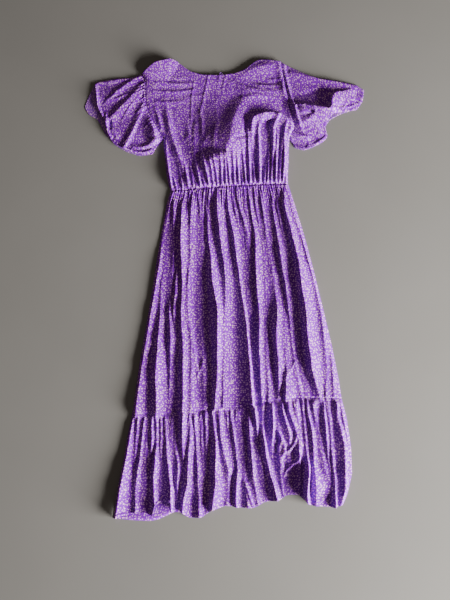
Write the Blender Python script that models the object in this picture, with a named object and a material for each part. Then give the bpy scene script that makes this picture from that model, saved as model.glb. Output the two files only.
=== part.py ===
"""Maxi dress laid flat with its back up, at real size in metres.

+X is to the right, +Y runs to the neck, +Z is up, and the surface that the dress rests on is z = 0.
Each cut piece is one wall of cloth: the front pieces lie flat, and the back pieces lie on them in
folds. Tables are in millimetres, a row for each fold, and MM brings them to metres.
"""

import math
from collections import namedtuple

import bmesh
import bpy
import numpy as np

MM = 0.001

# Cloth
WALL = 1.7 * MM
SEAM_GAP = 0.3 * MM
HALF_GAP_UP = np.array([0, SEAM_GAP / 2])
UPPER_LAYER = WALL + SEAM_GAP  # underside of the back pieces where they lie on the front ones
EDGE_ROLL = 9 * MM  # how far in from a side edge the cloth has risen to its full height
EDGE_START = 0.05  # share of EDGE_ROLL already risen at the edge itself
SEAM_EASE = 14 * MM  # how far from a seam both pieces take the height of the seam
STEEPEST = 0.75  # rise of a fold for each unit of its narrower slope
ROUND_SHARE = 0.6  # how much of a fold's section is rounded; the rest is peaked
PEAK_POWER = 1.3
SHARP_EDGE = math.radians(50)
CLOTH_ROUGHNESS = 0.72
VIOLET = (0.27, 0.13, 0.55)
DEEP_VIOLET = (0.18, 0.08, 0.4)

# Divisions. The waist and tier seams have the same stretches on every piece, and the armholes too, so
# that sewn edges keep an even gap. Each piece divides a stretch into its own number of cells.
STRETCHES = 28
ARMHOLE_STRETCHES = 11
BODICE_FINENESS = 3
BODICE_SIDE_ROWS = 5
SKIRT_FINENESS = 4
SKIRT_ROWS = 8
TIER_FINENESS = 4
TIER_ROWS = 6
SLEEVE_FINENESS = 2
SLEEVE_ROWS = 8
FRONT_FINENESS = 1
FRONT_ROWS = 3
TIER_FRONT_FINENESS = 2
TIER_FRONT_ROWS = 2
EASE_STEP = 2 * MM  # spacing at which corners are eased
EASE_PASSES = 10
CREASE_POINTS = 25
CREASE_ENDS = 4  # a crease dies out over the first and last quarter of its way
CREASE_START = 0.15

# Seams and edges in millimetres, each from left to right or from the top down
NECK_AND_SHOULDERS = (
    (-250, 609), (-212, 642), (-162, 656), (-139, 644), (-106, 617), (-70, 606),
    (-15, 605), (30, 611), (62, 625), (84, 646), (102, 657), (135, 656), (168, 650),
)
FRONT_NECK_AND_SHOULDERS = (
    (-250, 609), (-212, 642), (-162, 656), (-140, 600), (-95, 550), (-30, 528),
    (35, 550), (80, 600), (102, 657), (135, 656), (168, 650),
)
ARMHOLE_LEFT = ((-250, 609), (-239, 585), (-240, 558), (-236, 512), (-220, 467), (-199, 430), (-181, 400))
ARMHOLE_RIGHT = ((168, 650), (172, 611), (180, 558), (190, 509), (200, 460), (203, 428), (189, 400))
BODICE_SIDE_LEFT = ((-181, 400), (-179, 362), (-173, 322), (-170, 290), (-163, 258), (-157, 236))
BODICE_SIDE_RIGHT = ((189, 400), (186, 362), (185, 325), (182, 291), (182, 259))
WAIST = ((-157, 236), (-80, 243), (0, 250), (90, 255), (182, 259))
SKIRT_SIDE_LEFT = (
    (-157, 236), (-167, 200), (-181, 110), (-192, 30), (-202, -50), (-216, -150), (-231, -250), (-247, -388),
)
SKIRT_SIDE_RIGHT = (
    (182, 259), (199, 200), (226, 100), (249, 0), (270, -100), (290, -200), (307, -300), (312, -347),
)
TIER_SEAM = (
    (-247, -388), (-155, -388), (-113, -376), (-70, -381), (-17, -365), (24, -372), (145, -351),
    (196, -345), (312, -347),
)
TIER_SIDE_LEFT = ((-247, -388), (-257, -440), (-266, -500), (-279, -575), (-288, -650))
TIER_SIDE_RIGHT = ((312, -347), (324, -400), (332, -470), (332, -540), (318, -590), (305, -617))
HEM_BACK = (
    (-288, -650), (-240, -641), (-195, -645), (-180, -650), (-166, -630), (-145, -648), (-120, -628),
    (-92, -648), (-57, -646), (-34, -628), (2, -618), (73, -622), (104, -608), (145, -603), (160, -592),
    (190, -590), (208, -605), (222, -620), (288, -622), (305, -617),
)
HEM_FRONT = (
    (-288, -650), (-240, -655), (-193, -657), (-172, -653), (-130, -634), (-92, -640), (-34, -624),
    (2, -612), (73, -612), (145, -598), (190, -584), (222, -612), (288, -616), (305, -617),
)

# Left sleeve: fold along the top, the cuff of the back layer, the cuff of the under layer, underarm seam
SLEEVE_LEFT_TOP = ((-250, 609), (-280, 596), (-325, 594), (-382, 584), (-392, 574))
SLEEVE_LEFT_UNDERARM = ((-181, 400), (-200, 376), (-212, 352))
SLEEVE_LEFT_CUFF = (
    (-392, 574), (-386, 530), (-384, 497), (-360, 466), (-350, 425), (-328, 386), (-292, 364),
    (-262, 353), (-232, 347), (-212, 352),
)
SLEEVE_LEFT_UNDER_CUFF = (
    (-392, 574), (-408, 536), (-419, 500), (-405, 477), (-378, 462), (-352, 414), (-325, 382),
    (-290, 360), (-250, 346), (-212, 352),
)
# Right sleeve, in the same order
SLEEVE_RIGHT_TOP = ((168, 650), (200, 630), (241, 611), (280, 595), (355, 583), (394, 573), (416, 556))
SLEEVE_RIGHT_UNDERARM = ((189, 400), (199, 385), (205, 372))
SLEEVE_RIGHT_CUFF = (
    (416, 556), (410, 519), (391, 490), (355, 484), (322, 477), (303, 455), (294, 430), (302, 406),
    (289, 389), (255, 373), (228, 362), (205, 372),
)
SLEEVE_RIGHT_UNDER_CUFF = (
    (416, 556), (404, 516), (380, 492), (345, 480), (312, 462), (296, 440), (289, 420), (293, 400),
    (278, 384), (250, 370), (228, 364), (205, 372),
)

# Long folds of the skirt, at even steps down the piece: crest line, the valley line to its right, and
# its rise from top to bottom
Fold = namedtuple("Fold", "crest valley rise")
SKIRT_FOLDS = (
    Fold((-154, -178, -213, -241), (-151, -172, -200, -213), (1, 9)),
    Fold((-150, -165, -182, -184), (-148, -162, -172, -157), (0, 9)),
    Fold((-146, -146, -155, -151), (-137, -140, -131, -142), (5, 6)),
    Fold((-127, -127, -122, -114), (-104, -82, -88, -72), (7, 13)),
    Fold((-78, -72, -70, -55), (-70, -64, -62, -44), (3, 3)),
    Fold((-58, -44, -22, -22), (-52, -28, 11, 14), (5, 13)),
    Fold((-26, -8, 15, 17), (-1, 12, 17, 19), (9, 0)),
    Fold((0, 17, 26, 35), (1, 19, 36, 42), (0, 3)),
    Fold((4, 31, 58, 75), (14, 54, 68, 82), (6, 10)),
    Fold((40, 80, 94, 97), (46, 101, 113, 107), (5, 10)),
    Fold((60, 104, 116, 118), (66, 106, 120, 128), (3, 7)),
    Fold((103, 118, 124, 131), (109, 123, 127, 134), (7, 0)),
    Fold((122, 144, 142, 150), (125, 146, 165, 166), (0, 8)),
    Fold((131, 153, 178, 176), (146, 184, 190, 198), (7, 7)),
    Fold((159, 202, 219, 230), (176, 222, 250, 262), (7, 11)),
    Fold((178, 229, 261, 274), (179, 232, 272, 289), (0, 6)),
    Fold((180, 233, 274, 299), (181, 235, 276, 307), (0, 5)),
)

# Gathers of the hem tier, in the same columns
TIER_FOLDS = (
    Fold((-243, -262, -281), (-239, -247, -247), (4, 8)),
    Fold((-227, -241, -244), (-222, -235, -243), (4, 1)),
    Fold((-212, -220, -231), (-208, -215, -223), (5, 5)),
    Fold((-204, -208, -208), (-201, -201, -203), (2, 2)),
    Fold((-194, -193, -196), (-189, -189, -193), (5, 0)),
    Fold((-184, -183, -184), (-177, -173, -173), (5, 7)),
    Fold((-171, -169, -166), (-164, -163, -163), (5, 2)),
    Fold((-158, -152, -135), (-152, -143, -128), (7, 6)),
    Fold((-137, -134, -127), (-133, -130, -126), (2, 0)),
    Fold((-112, -112, -123), (-99, -104, -119), (7, 3)),
    Fold((-92, -97, -112), (-87, -81, -85), (5, 10)),
    Fold((-81, -74, -62), (-75, -67, -53), (5, 7)),
    Fold((-66, -59, -52), (-59, -55, -50), (4, 1)),
    Fold((-50, -50, -44), (-45, -41, -40), (4, 2)),
    Fold((-33, -23, -34), (-28, -15, -20), (5, 6)),
    Fold((-17, -9, -15), (-8, 16, 5), (5, 8)),
    Fold((14, 32, 32), (20, 40, 42), (6, 6)),
    Fold((70, 71, 68), (75, 77, 82), (8, 9)),
    Fold((81, 86, 90), (88, 89, 91), (6, 0)),
    Fold((94, 109, 126), (98, 114, 150), (6, 10)),
    Fold((126, 138, 160), (134, 146, 163), (7, 4)),
    Fold((154, 162, 168), (162, 170, 172), (6, 3)),
    Fold((176, 194, 180), (199, 201, 186), (7, 4)),
    Fold((207, 213, 201), (212, 218, 204), (4, 1)),
    Fold((219, 231, 208), (230, 242, 224), (6, 8)),
    Fold((243, 257, 236), (253, 262, 262), (5, 8)),
    Fold((264, 270, 266), (270, 275, 268), (4, 2)),
    Fold((276, 282, 284), (285, 289, 291), (6, 7)),
    Fold((295, 318, 298), (307, 328, 303), (7, 8)),
)

# Creases of the bodice and sleeves: three points of the crest, the slopes to the left and right of
# its way from start to end, and its rise
Crease = namedtuple("Crease", "start middle end left right rise")
BODICE_CREASES = (
    Crease((-165, 486), (-147, 385), (-116, 262), 24, 20, 9),
    Crease((168, 528), (30, 560), (16, 372), 60, 24, 14),
    Crease((16, 420), (17, 375), (-24, 342), 30, 20, 9),
    Crease((78, 420), (100, 530), (186, 455), 16, 16, 8),
    Crease((30, 574), (90, 566), (158, 556), 13, 13, 3),
    Crease((-205, 575), (-150, 566), (-95, 570), 9, 9, 2),
    Crease((-205, 543), (-150, 545), (-90, 549), 9, 9, 2),
    Crease((-180, 505), (-140, 508), (-95, 512), 10, 10, 2),
    Crease((-50, 598), (-62, 535), (-74, 475), 7, 9, 2),
    Crease((-90, 575), (-100, 490), (-101, 438), 7, 9, 2),
    Crease((-15, 600), (-17, 585), (-18, 566), 6, 6, 2),
)

# Gathers that run up the bodice from the waist: place at the waist, and where each dies out
Gather = namedtuple("Gather", "waist tip height width rise")
BODICE_GATHERS = (
    Gather(-152, -177, 372, 6, 5),
    Gather(-136, -158, 300, 5, 2.5),
    Gather(-103, -122, 345, 6, 3.5),
    Gather(-88, -104, 330, 5, 3),
    Gather(-68, -93, 352, 7, 4),
    Gather(-55, -77, 310, 5, 2.5),
    Gather(-43, -73, 372, 6, 4),
    Gather(-31, -48, 345, 5, 3.5),
    Gather(-19, -37, 352, 5, 3.5),
    Gather(-8, -15, 352, 6, 4),
    Gather(4, -2, 352, 6, 4),
    Gather(16, 2, 366, 6, 4.5),
    Gather(29, 20, 366, 6, 4.5),
    Gather(41, 34, 362, 6, 4.5),
    Gather(52, 44, 330, 5, 3),
    Gather(61, 48, 385, 7, 5),
    Gather(73, 64, 450, 7, 6),
    Gather(86, 80, 340, 5, 3.5),
    Gather(100, 99, 446, 8, 6.5),
    Gather(112, 122, 350, 5, 3),
    Gather(122, 129, 392, 6, 4),
    Gather(132, 142, 425, 6, 4.5),
    Gather(145, 155, 470, 7, 5.5),
    Gather(156, 166, 410, 6, 4.5),
    Gather(166, 176, 390, 5, 4),
)

SLEEVE_LEFT_CREASES = (
    Crease((-248, 600), (-290, 576), (-335, 556), 12, 15, 6),
    Crease((-244, 578), (-285, 548), (-336, 527), 9, 9, 4),
    Crease((-246, 556), (-290, 500), (-338, 452), 16, 20, 10),
    Crease((-242, 528), (-268, 470), (-302, 400), 15, 14, 9),
    Crease((-236, 500), (-254, 440), (-292, 374), 8, 12, 6),
    Crease((-226, 475), (-212, 425), (-228, 372), 22, 10, 9),
    Crease((-386, 575), (-378, 520), (-362, 468), 8, 16, 6),
    Crease((-352, 470), (-345, 430), (-330, 398), 8, 14, 6),
    Crease((-286, 380), (-262, 366), (-236, 360), 10, 8, 5),
)
SLEEVE_RIGHT_CREASES = (
    Crease((176, 606), (188, 530), (212, 440), 12, 9, 6),
    Crease((205, 612), (290, 580), (398, 562), 20, 18, 8),
    Crease((338, 548), (318, 522), (300, 478), 16, 60, 14),
    Crease((212, 522), (250, 510), (268, 488), 12, 18, 6),
    Crease((232, 470), (262, 478), (300, 470), 16, 16, 5),
    Crease((212, 432), (238, 410), (282, 404), 12, 12, 6),
    Crease((206, 396), (232, 384), (262, 380), 8, 8, 5),
)

SLEEVE_PUFF = 6 * MM  # height that the gathered cloth adds in the middle of a sleeve
SLEEVE_FULLNESS = 0.7  # under 1, the puff rises sooner from the sleeve's folded sides
BODICE_LIFT = 3 * MM  # soft height of the bodice away from its edges
SKIRT_LIFT = 2 * MM

# Small gathers of the skirt along the waist: they die out down the skirt
WAIST_GATHERS = 27
WAIST_GATHER_RISE = 2.6 * MM
WAIST_GATHER_LENGTH = 55 * MM
WAIST_GATHER_DRIFT = 0.22  # unevenness of their places, in gathers, and how often it comes round
WAIST_GATHER_DRIFTS = 4.5
WAIST_GATHER_SPREAD = 0.5  # unevenness of their lengths, and its step from one gather to the next
WAIST_GATHER_STEP = 2.4
GATHER_OVERRUN = 20  # how far, in millimetres, the bodice's gathers run on past the waist seam


def smooth(value):
    """Eases a value from 0 to 1 with level ends."""
    value = np.clip(value, 0, 1)
    return value * value * (3 - 2 * value)


def hump(distance):
    """Cross-section of a fold: 1 at its crest and 0 from a distance of 1 on."""
    closeness = 1 - np.clip(np.abs(distance), 0, 1)
    return ROUND_SHARE * smooth(closeness) + (1 - ROUND_SHARE) * closeness**PEAK_POWER


def along(points, count):
    """Places that many points evenly along a line through points in millimetres, ends included."""
    points = np.array(points, float) * MM
    steps = np.linalg.norm(np.diff(points, axis=0), axis=1)
    reached = np.concatenate([[0], np.cumsum(steps)])
    wanted = np.linspace(0, reached[-1], count)
    return np.stack([np.interp(wanted, reached, points[:, axis]) for axis in (0, 1)], axis=-1)


def rounded(points, stretches):
    """Divides a line into even stretches with its corners eased, so that seams and edges curve softly."""
    length = np.linalg.norm(np.diff(points, axis=0), axis=1).sum() * MM
    fine = along(points, round(length / EASE_STEP))
    for _ in range(EASE_PASSES):
        fine[1:-1] = (fine[:-2] + 2 * fine[1:-1] + fine[2:]) / 4
    return along(fine / MM, stretches + 1)


def divided(edge, fineness):
    """Divides each straight stretch of an edge into that many cells."""
    places = np.arange(len(edge))
    steps = np.arange(fineness * (len(edge) - 1) + 1) / fineness
    return np.stack([np.interp(steps, places, edge[:, axis]) for axis in (0, 1)], axis=-1)


def shifted(edge, distance):
    """Moves an edge sideways in the plane, to the left of its direction when the distance is positive."""
    way = np.gradient(edge, axis=0)
    way /= np.linalg.norm(way, axis=1)[:, None]
    return edge + distance * np.stack([-way[:, 1], way[:, 0]], axis=-1)


def patch(top, bottom, left, right):
    """Fills the plane between four edges. Rows run from top to bottom, columns from left to right."""
    rows = np.linspace(0, 1, len(left))[:, None, None]
    columns = np.linspace(0, 1, len(top))[None, :, None]
    across = (1 - rows) * top[None] + rows * bottom[None]
    down = (1 - columns) * left[:, None] + columns * right[:, None]
    corners = (1 - rows) * ((1 - columns) * top[0] + columns * top[-1])
    corners = corners + rows * ((1 - columns) * bottom[0] + columns * bottom[-1])
    return across + down - corners


def at_rows(values, rows):
    """Reads a table row's values, given at even steps down the piece, at each row."""
    steps = np.linspace(0, 1, len(values))
    return np.interp(rows, steps, values) * MM


def fold_rise(sideways, folds, rows):
    """Height of the long folds at places across each row: up from a valley to the crest, and down."""
    height = np.zeros(sideways.shape)
    valley_before = sideways[:, 0]
    for fold in folds:
        crest = at_rows(fold.crest, rows)
        valley = at_rows(fold.valley, rows)
        back = np.maximum(crest - valley_before, MM)
        fall = np.maximum(valley - crest, MM)
        rise = np.minimum(at_rows(fold.rise, rows), STEEPEST * np.minimum(back, fall))
        offset = sideways - crest[:, None]
        distance = np.where(offset < 0, offset / back[:, None], offset / fall[:, None])
        height = np.maximum(height, rise[:, None] * hump(distance))
        valley_before = valley
    return height


def crease_rise(plan, creases):
    """Height of curved creases, each a ridge along a bowed line that dies out at both ends."""
    height = np.zeros(plan.shape[:2])
    steps = np.linspace(0, 1, CREASE_POINTS)
    for crease in creases:
        start, middle, end = (np.array(point) * MM for point in crease[:3])
        pull = 2 * middle - (start + end) / 2
        share = steps[:, None]
        line = (1 - share) ** 2 * start + 2 * share * (1 - share) * pull + share**2 * end
        way = np.gradient(line, axis=0)
        way /= np.linalg.norm(way, axis=1)[:, None]
        offset = plan[:, :, None, :] - line
        nearest = np.argmin((offset**2).sum(axis=-1), axis=-1)
        offset = np.take_along_axis(offset, nearest[:, :, None, None], axis=2)[:, :, 0]
        way = way[nearest]
        side = way[..., 0] * offset[..., 1] - way[..., 1] * offset[..., 0]
        distance = np.linalg.norm(offset, axis=-1)
        width = np.where(side > 0, crease.left, crease.right) * MM
        ends = smooth(CREASE_ENDS * (0.5 - np.abs(steps[nearest] - 0.5)) + CREASE_START)
        height += crease.rise * MM * hump(distance / width) * ends
    return height


def gather_creases(gathers):
    """Turns the bodice's gathers into creases that start at the waist seam."""
    made = []
    for gather in gathers:
        foot = np.interp(gather.waist, *zip(*WAIST))
        start = (gather.waist, foot - GATHER_OVERRUN)
        middle = ((gather.waist + gather.tip) / 2, (foot + gather.height) / 2)
        tip = (gather.tip, gather.height)
        made.append(Crease(start, middle, tip, gather.width, gather.width, gather.rise))
    return made


def waist_turns(plan):
    """Number of waist gathers passed at each column of a patch, unevenly."""
    columns = np.linspace(0, 1, plan.shape[1])
    drift = WAIST_GATHER_DRIFT * np.sin(2 * math.pi * WAIST_GATHER_DRIFTS * columns)
    return WAIST_GATHERS * columns + drift


def waist_gathers(plan):
    """Height of the small gathers at each column of a patch, at the waist seam itself."""
    return WAIST_GATHER_RISE * (0.5 - 0.5 * np.cos(2 * math.pi * waist_turns(plan)))


def side_roll(plan):
    """0 at the left and right edges of a patch, rising to 1 a little way in, as cloth turned under."""
    from_left = np.linalg.norm(plan - plan[:, :1], axis=-1)
    from_right = np.linalg.norm(plan - plan[:, -1:], axis=-1)
    return smooth(np.minimum(from_left, from_right) / EDGE_ROLL + EDGE_START)


def top_roll(plan):
    """0 at the top edge of a patch, rising to 1 a little way down."""
    return smooth(np.linalg.norm(plan - plan[:1], axis=-1) / EDGE_ROLL + EDGE_START)


def eased_to_seam(plan, height, seam_row, seam_height):
    """Brings a piece's height to that of its seam, which is the first row of the patch or the last."""
    away = smooth(np.linalg.norm(plan - plan[seam_row], axis=-1) / SEAM_EASE)
    return away * height + (1 - away) * seam_height


def cloth_material(name, colour):
    """Makes the printed cloth's plain stand-in colour."""
    material = bpy.data.materials.new(name)
    material.use_nodes = True
    shader = material.node_tree.nodes["Principled BSDF"]
    shader.inputs["Base Color"].default_value = (*colour, 1)
    shader.inputs["Roughness"].default_value = CLOTH_ROUGHNESS
    material.diffuse_color = (*colour, 1)
    return material


def add_piece(name, mesh, collection, colour):
    """Puts a finished mesh in the collection as one named piece."""
    piece = bpy.data.objects.new(name, mesh)
    collection.objects.link(piece)
    mesh.materials.append(cloth_material(name + "_cloth", colour))
    for face in mesh.polygons:
        face.use_smooth = True
    mesh.set_sharp_from_angle(angle=SHARP_EDGE)
    return piece


def sheet_mesh(name, plan, height):
    """Lays a grid out over the patch at the given height and draws it down into a wall."""
    rows, columns = height.shape
    bm = bmesh.new()
    bmesh.ops.create_grid(bm, x_segments=columns - 1, y_segments=rows - 1, size=0.5)
    for vert in bm.verts:
        column = round((vert.co.x + 0.5) * (columns - 1))
        row = round((0.5 - vert.co.y) * (rows - 1))
        vert.co = (*plan[row, column], height[row, column])
    drawn = bmesh.ops.extrude_face_region(bm, geom=bm.faces[:], use_keep_orig=True)
    lower = [item for item in drawn["geom"] if isinstance(item, bmesh.types.BMVert)]
    bmesh.ops.translate(bm, verts=lower, vec=(0, 0, -WALL))
    bmesh.ops.recalc_face_normals(bm, faces=bm.faces[:])
    mesh = bpy.data.meshes.new(name)
    bm.to_mesh(mesh)
    bm.free()
    return mesh


def tube_mesh(name, outer, inner):
    """Joins two tubes of points, [row][place round], into one wall that is open at both ends."""
    rows, around = outer.shape[:2]
    bm = bmesh.new()
    skins = [[[bm.verts.new(point) for point in ring] for ring in skin] for skin in (outer, inner)]
    for place in range(around):
        after = (place + 1) % around
        for skin in skins:
            for row in range(rows - 1):
                bm.faces.new(
                    (skin[row][place], skin[row][after], skin[row + 1][after], skin[row + 1][place])
                )
        for row in (0, rows - 1):
            bm.faces.new(
                (skins[0][row][place], skins[0][row][after], skins[1][row][after], skins[1][row][place])
            )
    bmesh.ops.recalc_face_normals(bm, faces=bm.faces[:])
    mesh = bpy.data.meshes.new(name)
    bm.to_mesh(mesh)
    bm.free()
    return mesh


def between(top, bottom, left, right):
    """Patch between four edges whose corners are those of the top and bottom edges."""
    left[0], left[-1] = top[0], bottom[0]
    right[0], right[-1] = top[-1], bottom[-1]
    return patch(top, bottom, left, right)


def bodice_plan(neck, fineness, side_rows):
    """Plan of a bodice piece between its neck, armholes, sides and waist."""
    sides = []
    for armhole, side in ((ARMHOLE_LEFT, BODICE_SIDE_LEFT), (ARMHOLE_RIGHT, BODICE_SIDE_RIGHT)):
        upper = rounded(armhole, ARMHOLE_STRETCHES)
        lower = rounded(side, side_rows)
        sides.append(np.concatenate([upper, lower[1:]]))
    left = shifted(sides[0], SEAM_GAP / 2)
    right = shifted(sides[1], -SEAM_GAP / 2)
    top = rounded(neck, STRETCHES * fineness)
    top[0], top[-1] = left[0], right[0]
    waist = divided(rounded(WAIST, STRETCHES), fineness) + HALF_GAP_UP
    return between(top, waist, left, right)


def skirt_plan(fineness, rows):
    """Plan of a skirt piece from the waist to the tier seam."""
    waist = divided(rounded(WAIST, STRETCHES), fineness) - HALF_GAP_UP
    seam = divided(rounded(TIER_SEAM, STRETCHES), fineness) + HALF_GAP_UP
    sides = (rounded(side, rows) for side in (SKIRT_SIDE_LEFT, SKIRT_SIDE_RIGHT))
    return between(waist, seam, *sides)


def tier_plan(hem, fineness, rows):
    """Plan of a piece of the hem tier from its seam to the wavy hem."""
    seam = divided(rounded(TIER_SEAM, STRETCHES), fineness) - HALF_GAP_UP
    edge = rounded(hem, STRETCHES * fineness)
    sides = (rounded(side, rows) for side in (TIER_SIDE_LEFT, TIER_SIDE_RIGHT))
    return between(seam, edge, *sides)


def bodice_height(plan):
    """Height of the back bodice over the front one."""
    gathers = crease_rise(plan, gather_creases(BODICE_GATHERS))
    height = (crease_rise(plan, BODICE_CREASES) + gathers + BODICE_LIFT) * top_roll(plan)
    height = eased_to_seam(plan, height, -1, waist_gathers(plan) + SKIRT_LIFT)
    return height * side_roll(plan)


def skirt_height(plan):
    """Height of the back skirt over the front one."""
    folds = fold_rise(plan[:, :, 0], SKIRT_FOLDS, np.linspace(0, 1, plan.shape[0]))
    spread = WAIST_GATHER_SPREAD * np.sin(WAIST_GATHER_STEP * np.round(waist_turns(plan)))
    lengths = WAIST_GATHER_LENGTH * (1 + spread)
    gathers = waist_gathers(plan) * np.exp(-np.linalg.norm(plan - plan[:1], axis=-1) / lengths)
    height = eased_to_seam(plan, folds + gathers + SKIRT_LIFT, 0, waist_gathers(plan) + SKIRT_LIFT)
    return height * side_roll(plan)


def tier_height(plan):
    """Height of the back tier over the front one. Along its seam it has the height of the skirt's folds."""
    folds = fold_rise(plan[:, :, 0], TIER_FOLDS, np.linspace(0, 1, plan.shape[0]))
    skirt_end = fold_rise(plan[:1, :, 0], SKIRT_FOLDS, np.ones(1))
    return eased_to_seam(plan, folds + SKIRT_LIFT, 0, skirt_end + SKIRT_LIFT) * side_roll(plan)


def sleeve_height(plan, creases):
    """Height of a sleeve's back layer over its under layer."""
    rows = np.linspace(0, 1, plan.shape[0])[:, None]
    columns = np.linspace(0, 1, plan.shape[1])[None, :]
    swell = 0.5 + 0.5 * np.sin(math.pi * rows)
    puff = SLEEVE_PUFF * swell * np.sin(math.pi * columns) ** SLEEVE_FULLNESS
    return (puff + crease_rise(plan, creases)) * side_roll(plan)


def inner_places(plan):
    """Columns of a sleeve layer's inner skin, row by row: its first and last are in by one wall."""
    last = plan.shape[1] - 1
    places = np.tile(np.arange(last + 1.0), (plan.shape[0], 1))
    places[:, 0] = WALL / np.linalg.norm(plan[:, 1] - plan[:, 0], axis=-1)
    places[:, last] = last - WALL / np.linalg.norm(plan[:, last] - plan[:, last - 1], axis=-1)
    return places


def inner_skin(plan, height):
    """Points of a sleeve layer's inner skin, at the given height."""
    points = np.concatenate([plan, height[..., None]], axis=-1)
    steps = np.arange(plan.shape[1])
    skin = points.copy()
    for row, places in enumerate(inner_places(plan)):
        for axis in range(3):
            skin[row, :, axis] = np.interp(places, steps, points[row, :, axis])
    return skin


def outer_skin(plan, height):
    """Points of a sleeve layer's outer skin, at the given height."""
    return np.concatenate([plan, height[..., None]], axis=-1)


def build_sleeve(name, edges, creases, outward, collection):
    """Makes a sleeve: a flattened tube whose cuff is open between its two layers."""
    armhole, top, underarm, cuff, under_cuff = edges
    columns = ARMHOLE_STRETCHES * SLEEVE_FINENESS
    seam = divided(shifted(rounded(armhole, ARMHOLE_STRETCHES), outward * SEAM_GAP / 2), SLEEVE_FINENESS)
    fold = rounded(top, SLEEVE_ROWS)
    under = rounded(underarm, SLEEVE_ROWS)
    upper, lower = (between(seam, rounded(edge, columns), fold, under) for edge in (cuff, under_cuff))
    height = sleeve_height(upper, creases) + UPPER_LAYER
    floor = np.zeros(height.shape)
    outer = [outer_skin(upper, height + WALL), outer_skin(lower, floor)[:, ::-1]]
    inner = [inner_skin(upper, height), inner_skin(lower, floor + WALL)[:, ::-1]]
    mesh = tube_mesh(name, np.concatenate(outer, axis=1), np.concatenate(inner, axis=1))
    return add_piece(name, mesh, collection, VIOLET)


def build_dress():
    """Builds all pieces of the dress into one collection."""
    collection = bpy.data.collections.new("maxi_dress")
    bpy.context.scene.collection.children.link(collection)

    fronts = (
        ("bodice_front", bodice_plan(FRONT_NECK_AND_SHOULDERS, FRONT_FINENESS, FRONT_ROWS)),
        ("skirt_front", skirt_plan(FRONT_FINENESS, FRONT_ROWS)),
        ("tier_front", tier_plan(HEM_FRONT, TIER_FRONT_FINENESS, TIER_FRONT_ROWS)),
    )
    for name, plan in fronts:
        mesh = sheet_mesh(name, plan, np.full(plan.shape[:2], WALL))
        add_piece(name, mesh, collection, DEEP_VIOLET)

    bodice = bodice_plan(NECK_AND_SHOULDERS, BODICE_FINENESS, BODICE_SIDE_ROWS)
    backs = (
        ("bodice_back", bodice, bodice_height),
        ("skirt_back", skirt_plan(SKIRT_FINENESS, SKIRT_ROWS), skirt_height),
        ("tier_back", tier_plan(HEM_BACK, TIER_FINENESS, TIER_ROWS), tier_height),
    )
    for name, plan, height in backs:
        mesh = sheet_mesh(name, plan, height(plan) + UPPER_LAYER + WALL)
        add_piece(name, mesh, collection, VIOLET)

    left = (
        ARMHOLE_LEFT, SLEEVE_LEFT_TOP, SLEEVE_LEFT_UNDERARM, SLEEVE_LEFT_CUFF, SLEEVE_LEFT_UNDER_CUFF,
    )
    right = (
        ARMHOLE_RIGHT, SLEEVE_RIGHT_TOP, SLEEVE_RIGHT_UNDERARM, SLEEVE_RIGHT_CUFF, SLEEVE_RIGHT_UNDER_CUFF,
    )
    build_sleeve("sleeve_left", left, SLEEVE_LEFT_CREASES, -1, collection)
    build_sleeve("sleeve_right", right, SLEEVE_RIGHT_CREASES, 1, collection)


for leftover in list(bpy.data.objects):
    bpy.data.objects.remove(leftover, do_unlink=True)
build_dress()
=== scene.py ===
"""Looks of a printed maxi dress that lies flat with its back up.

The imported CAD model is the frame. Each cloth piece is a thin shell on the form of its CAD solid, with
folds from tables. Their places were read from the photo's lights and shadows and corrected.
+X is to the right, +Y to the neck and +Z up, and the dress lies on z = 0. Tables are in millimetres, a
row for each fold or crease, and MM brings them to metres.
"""

from __future__ import annotations

import logging
import math
from collections.abc import Iterable
from dataclasses import dataclass, field
from enum import Enum

import bpy
import numpy as np
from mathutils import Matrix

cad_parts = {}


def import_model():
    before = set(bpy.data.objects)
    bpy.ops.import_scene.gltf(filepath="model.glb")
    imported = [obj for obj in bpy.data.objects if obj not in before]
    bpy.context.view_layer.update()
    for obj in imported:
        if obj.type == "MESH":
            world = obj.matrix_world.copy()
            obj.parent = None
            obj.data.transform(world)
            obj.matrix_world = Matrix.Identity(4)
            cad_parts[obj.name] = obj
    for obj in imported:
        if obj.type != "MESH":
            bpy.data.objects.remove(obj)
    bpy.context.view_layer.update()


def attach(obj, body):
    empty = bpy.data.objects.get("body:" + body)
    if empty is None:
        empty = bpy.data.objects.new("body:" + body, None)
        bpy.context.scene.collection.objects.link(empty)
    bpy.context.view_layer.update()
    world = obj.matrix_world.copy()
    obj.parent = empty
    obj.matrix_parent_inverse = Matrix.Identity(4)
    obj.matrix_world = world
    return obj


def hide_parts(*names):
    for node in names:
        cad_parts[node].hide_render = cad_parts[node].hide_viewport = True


LOG = logging.getLogger("dress")
MM = 0.001
Pairs = tuple[tuple[float, float], ...]
Numbers = tuple[float, ...]
Colour = tuple[float, ...]

# Cloth: thickness of the shells, height of the upper layers' undersides, half of the gap at a seam
SHELL = 0.7 * MM
UPPER_LAYER = 2.0 * MM
HALF_GAP = 0.15 * MM

# Distance in from a hem of its stitches and of the end of its turning, and the one given where it has none
HEM_STITCHES = 7.0 * MM
HEM_TURNING = (7.4 * MM, 9.4 * MM)
NO_HEM = 0.5

# The waist seam, in millimetres: height of its gathers' feet, and how far the pieces blend and dip to it
WAIST_LEVEL = 3.6
WAIST_BLEND = 11.0
WAIST_DIP = 1.7
WAIST_DIP_WIDTH = 3.2

# How the corners of an edge are eased: step along it, and how often it is smoothed
EASE_STEP = 2 * MM
EASE_PASSES = 10

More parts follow.
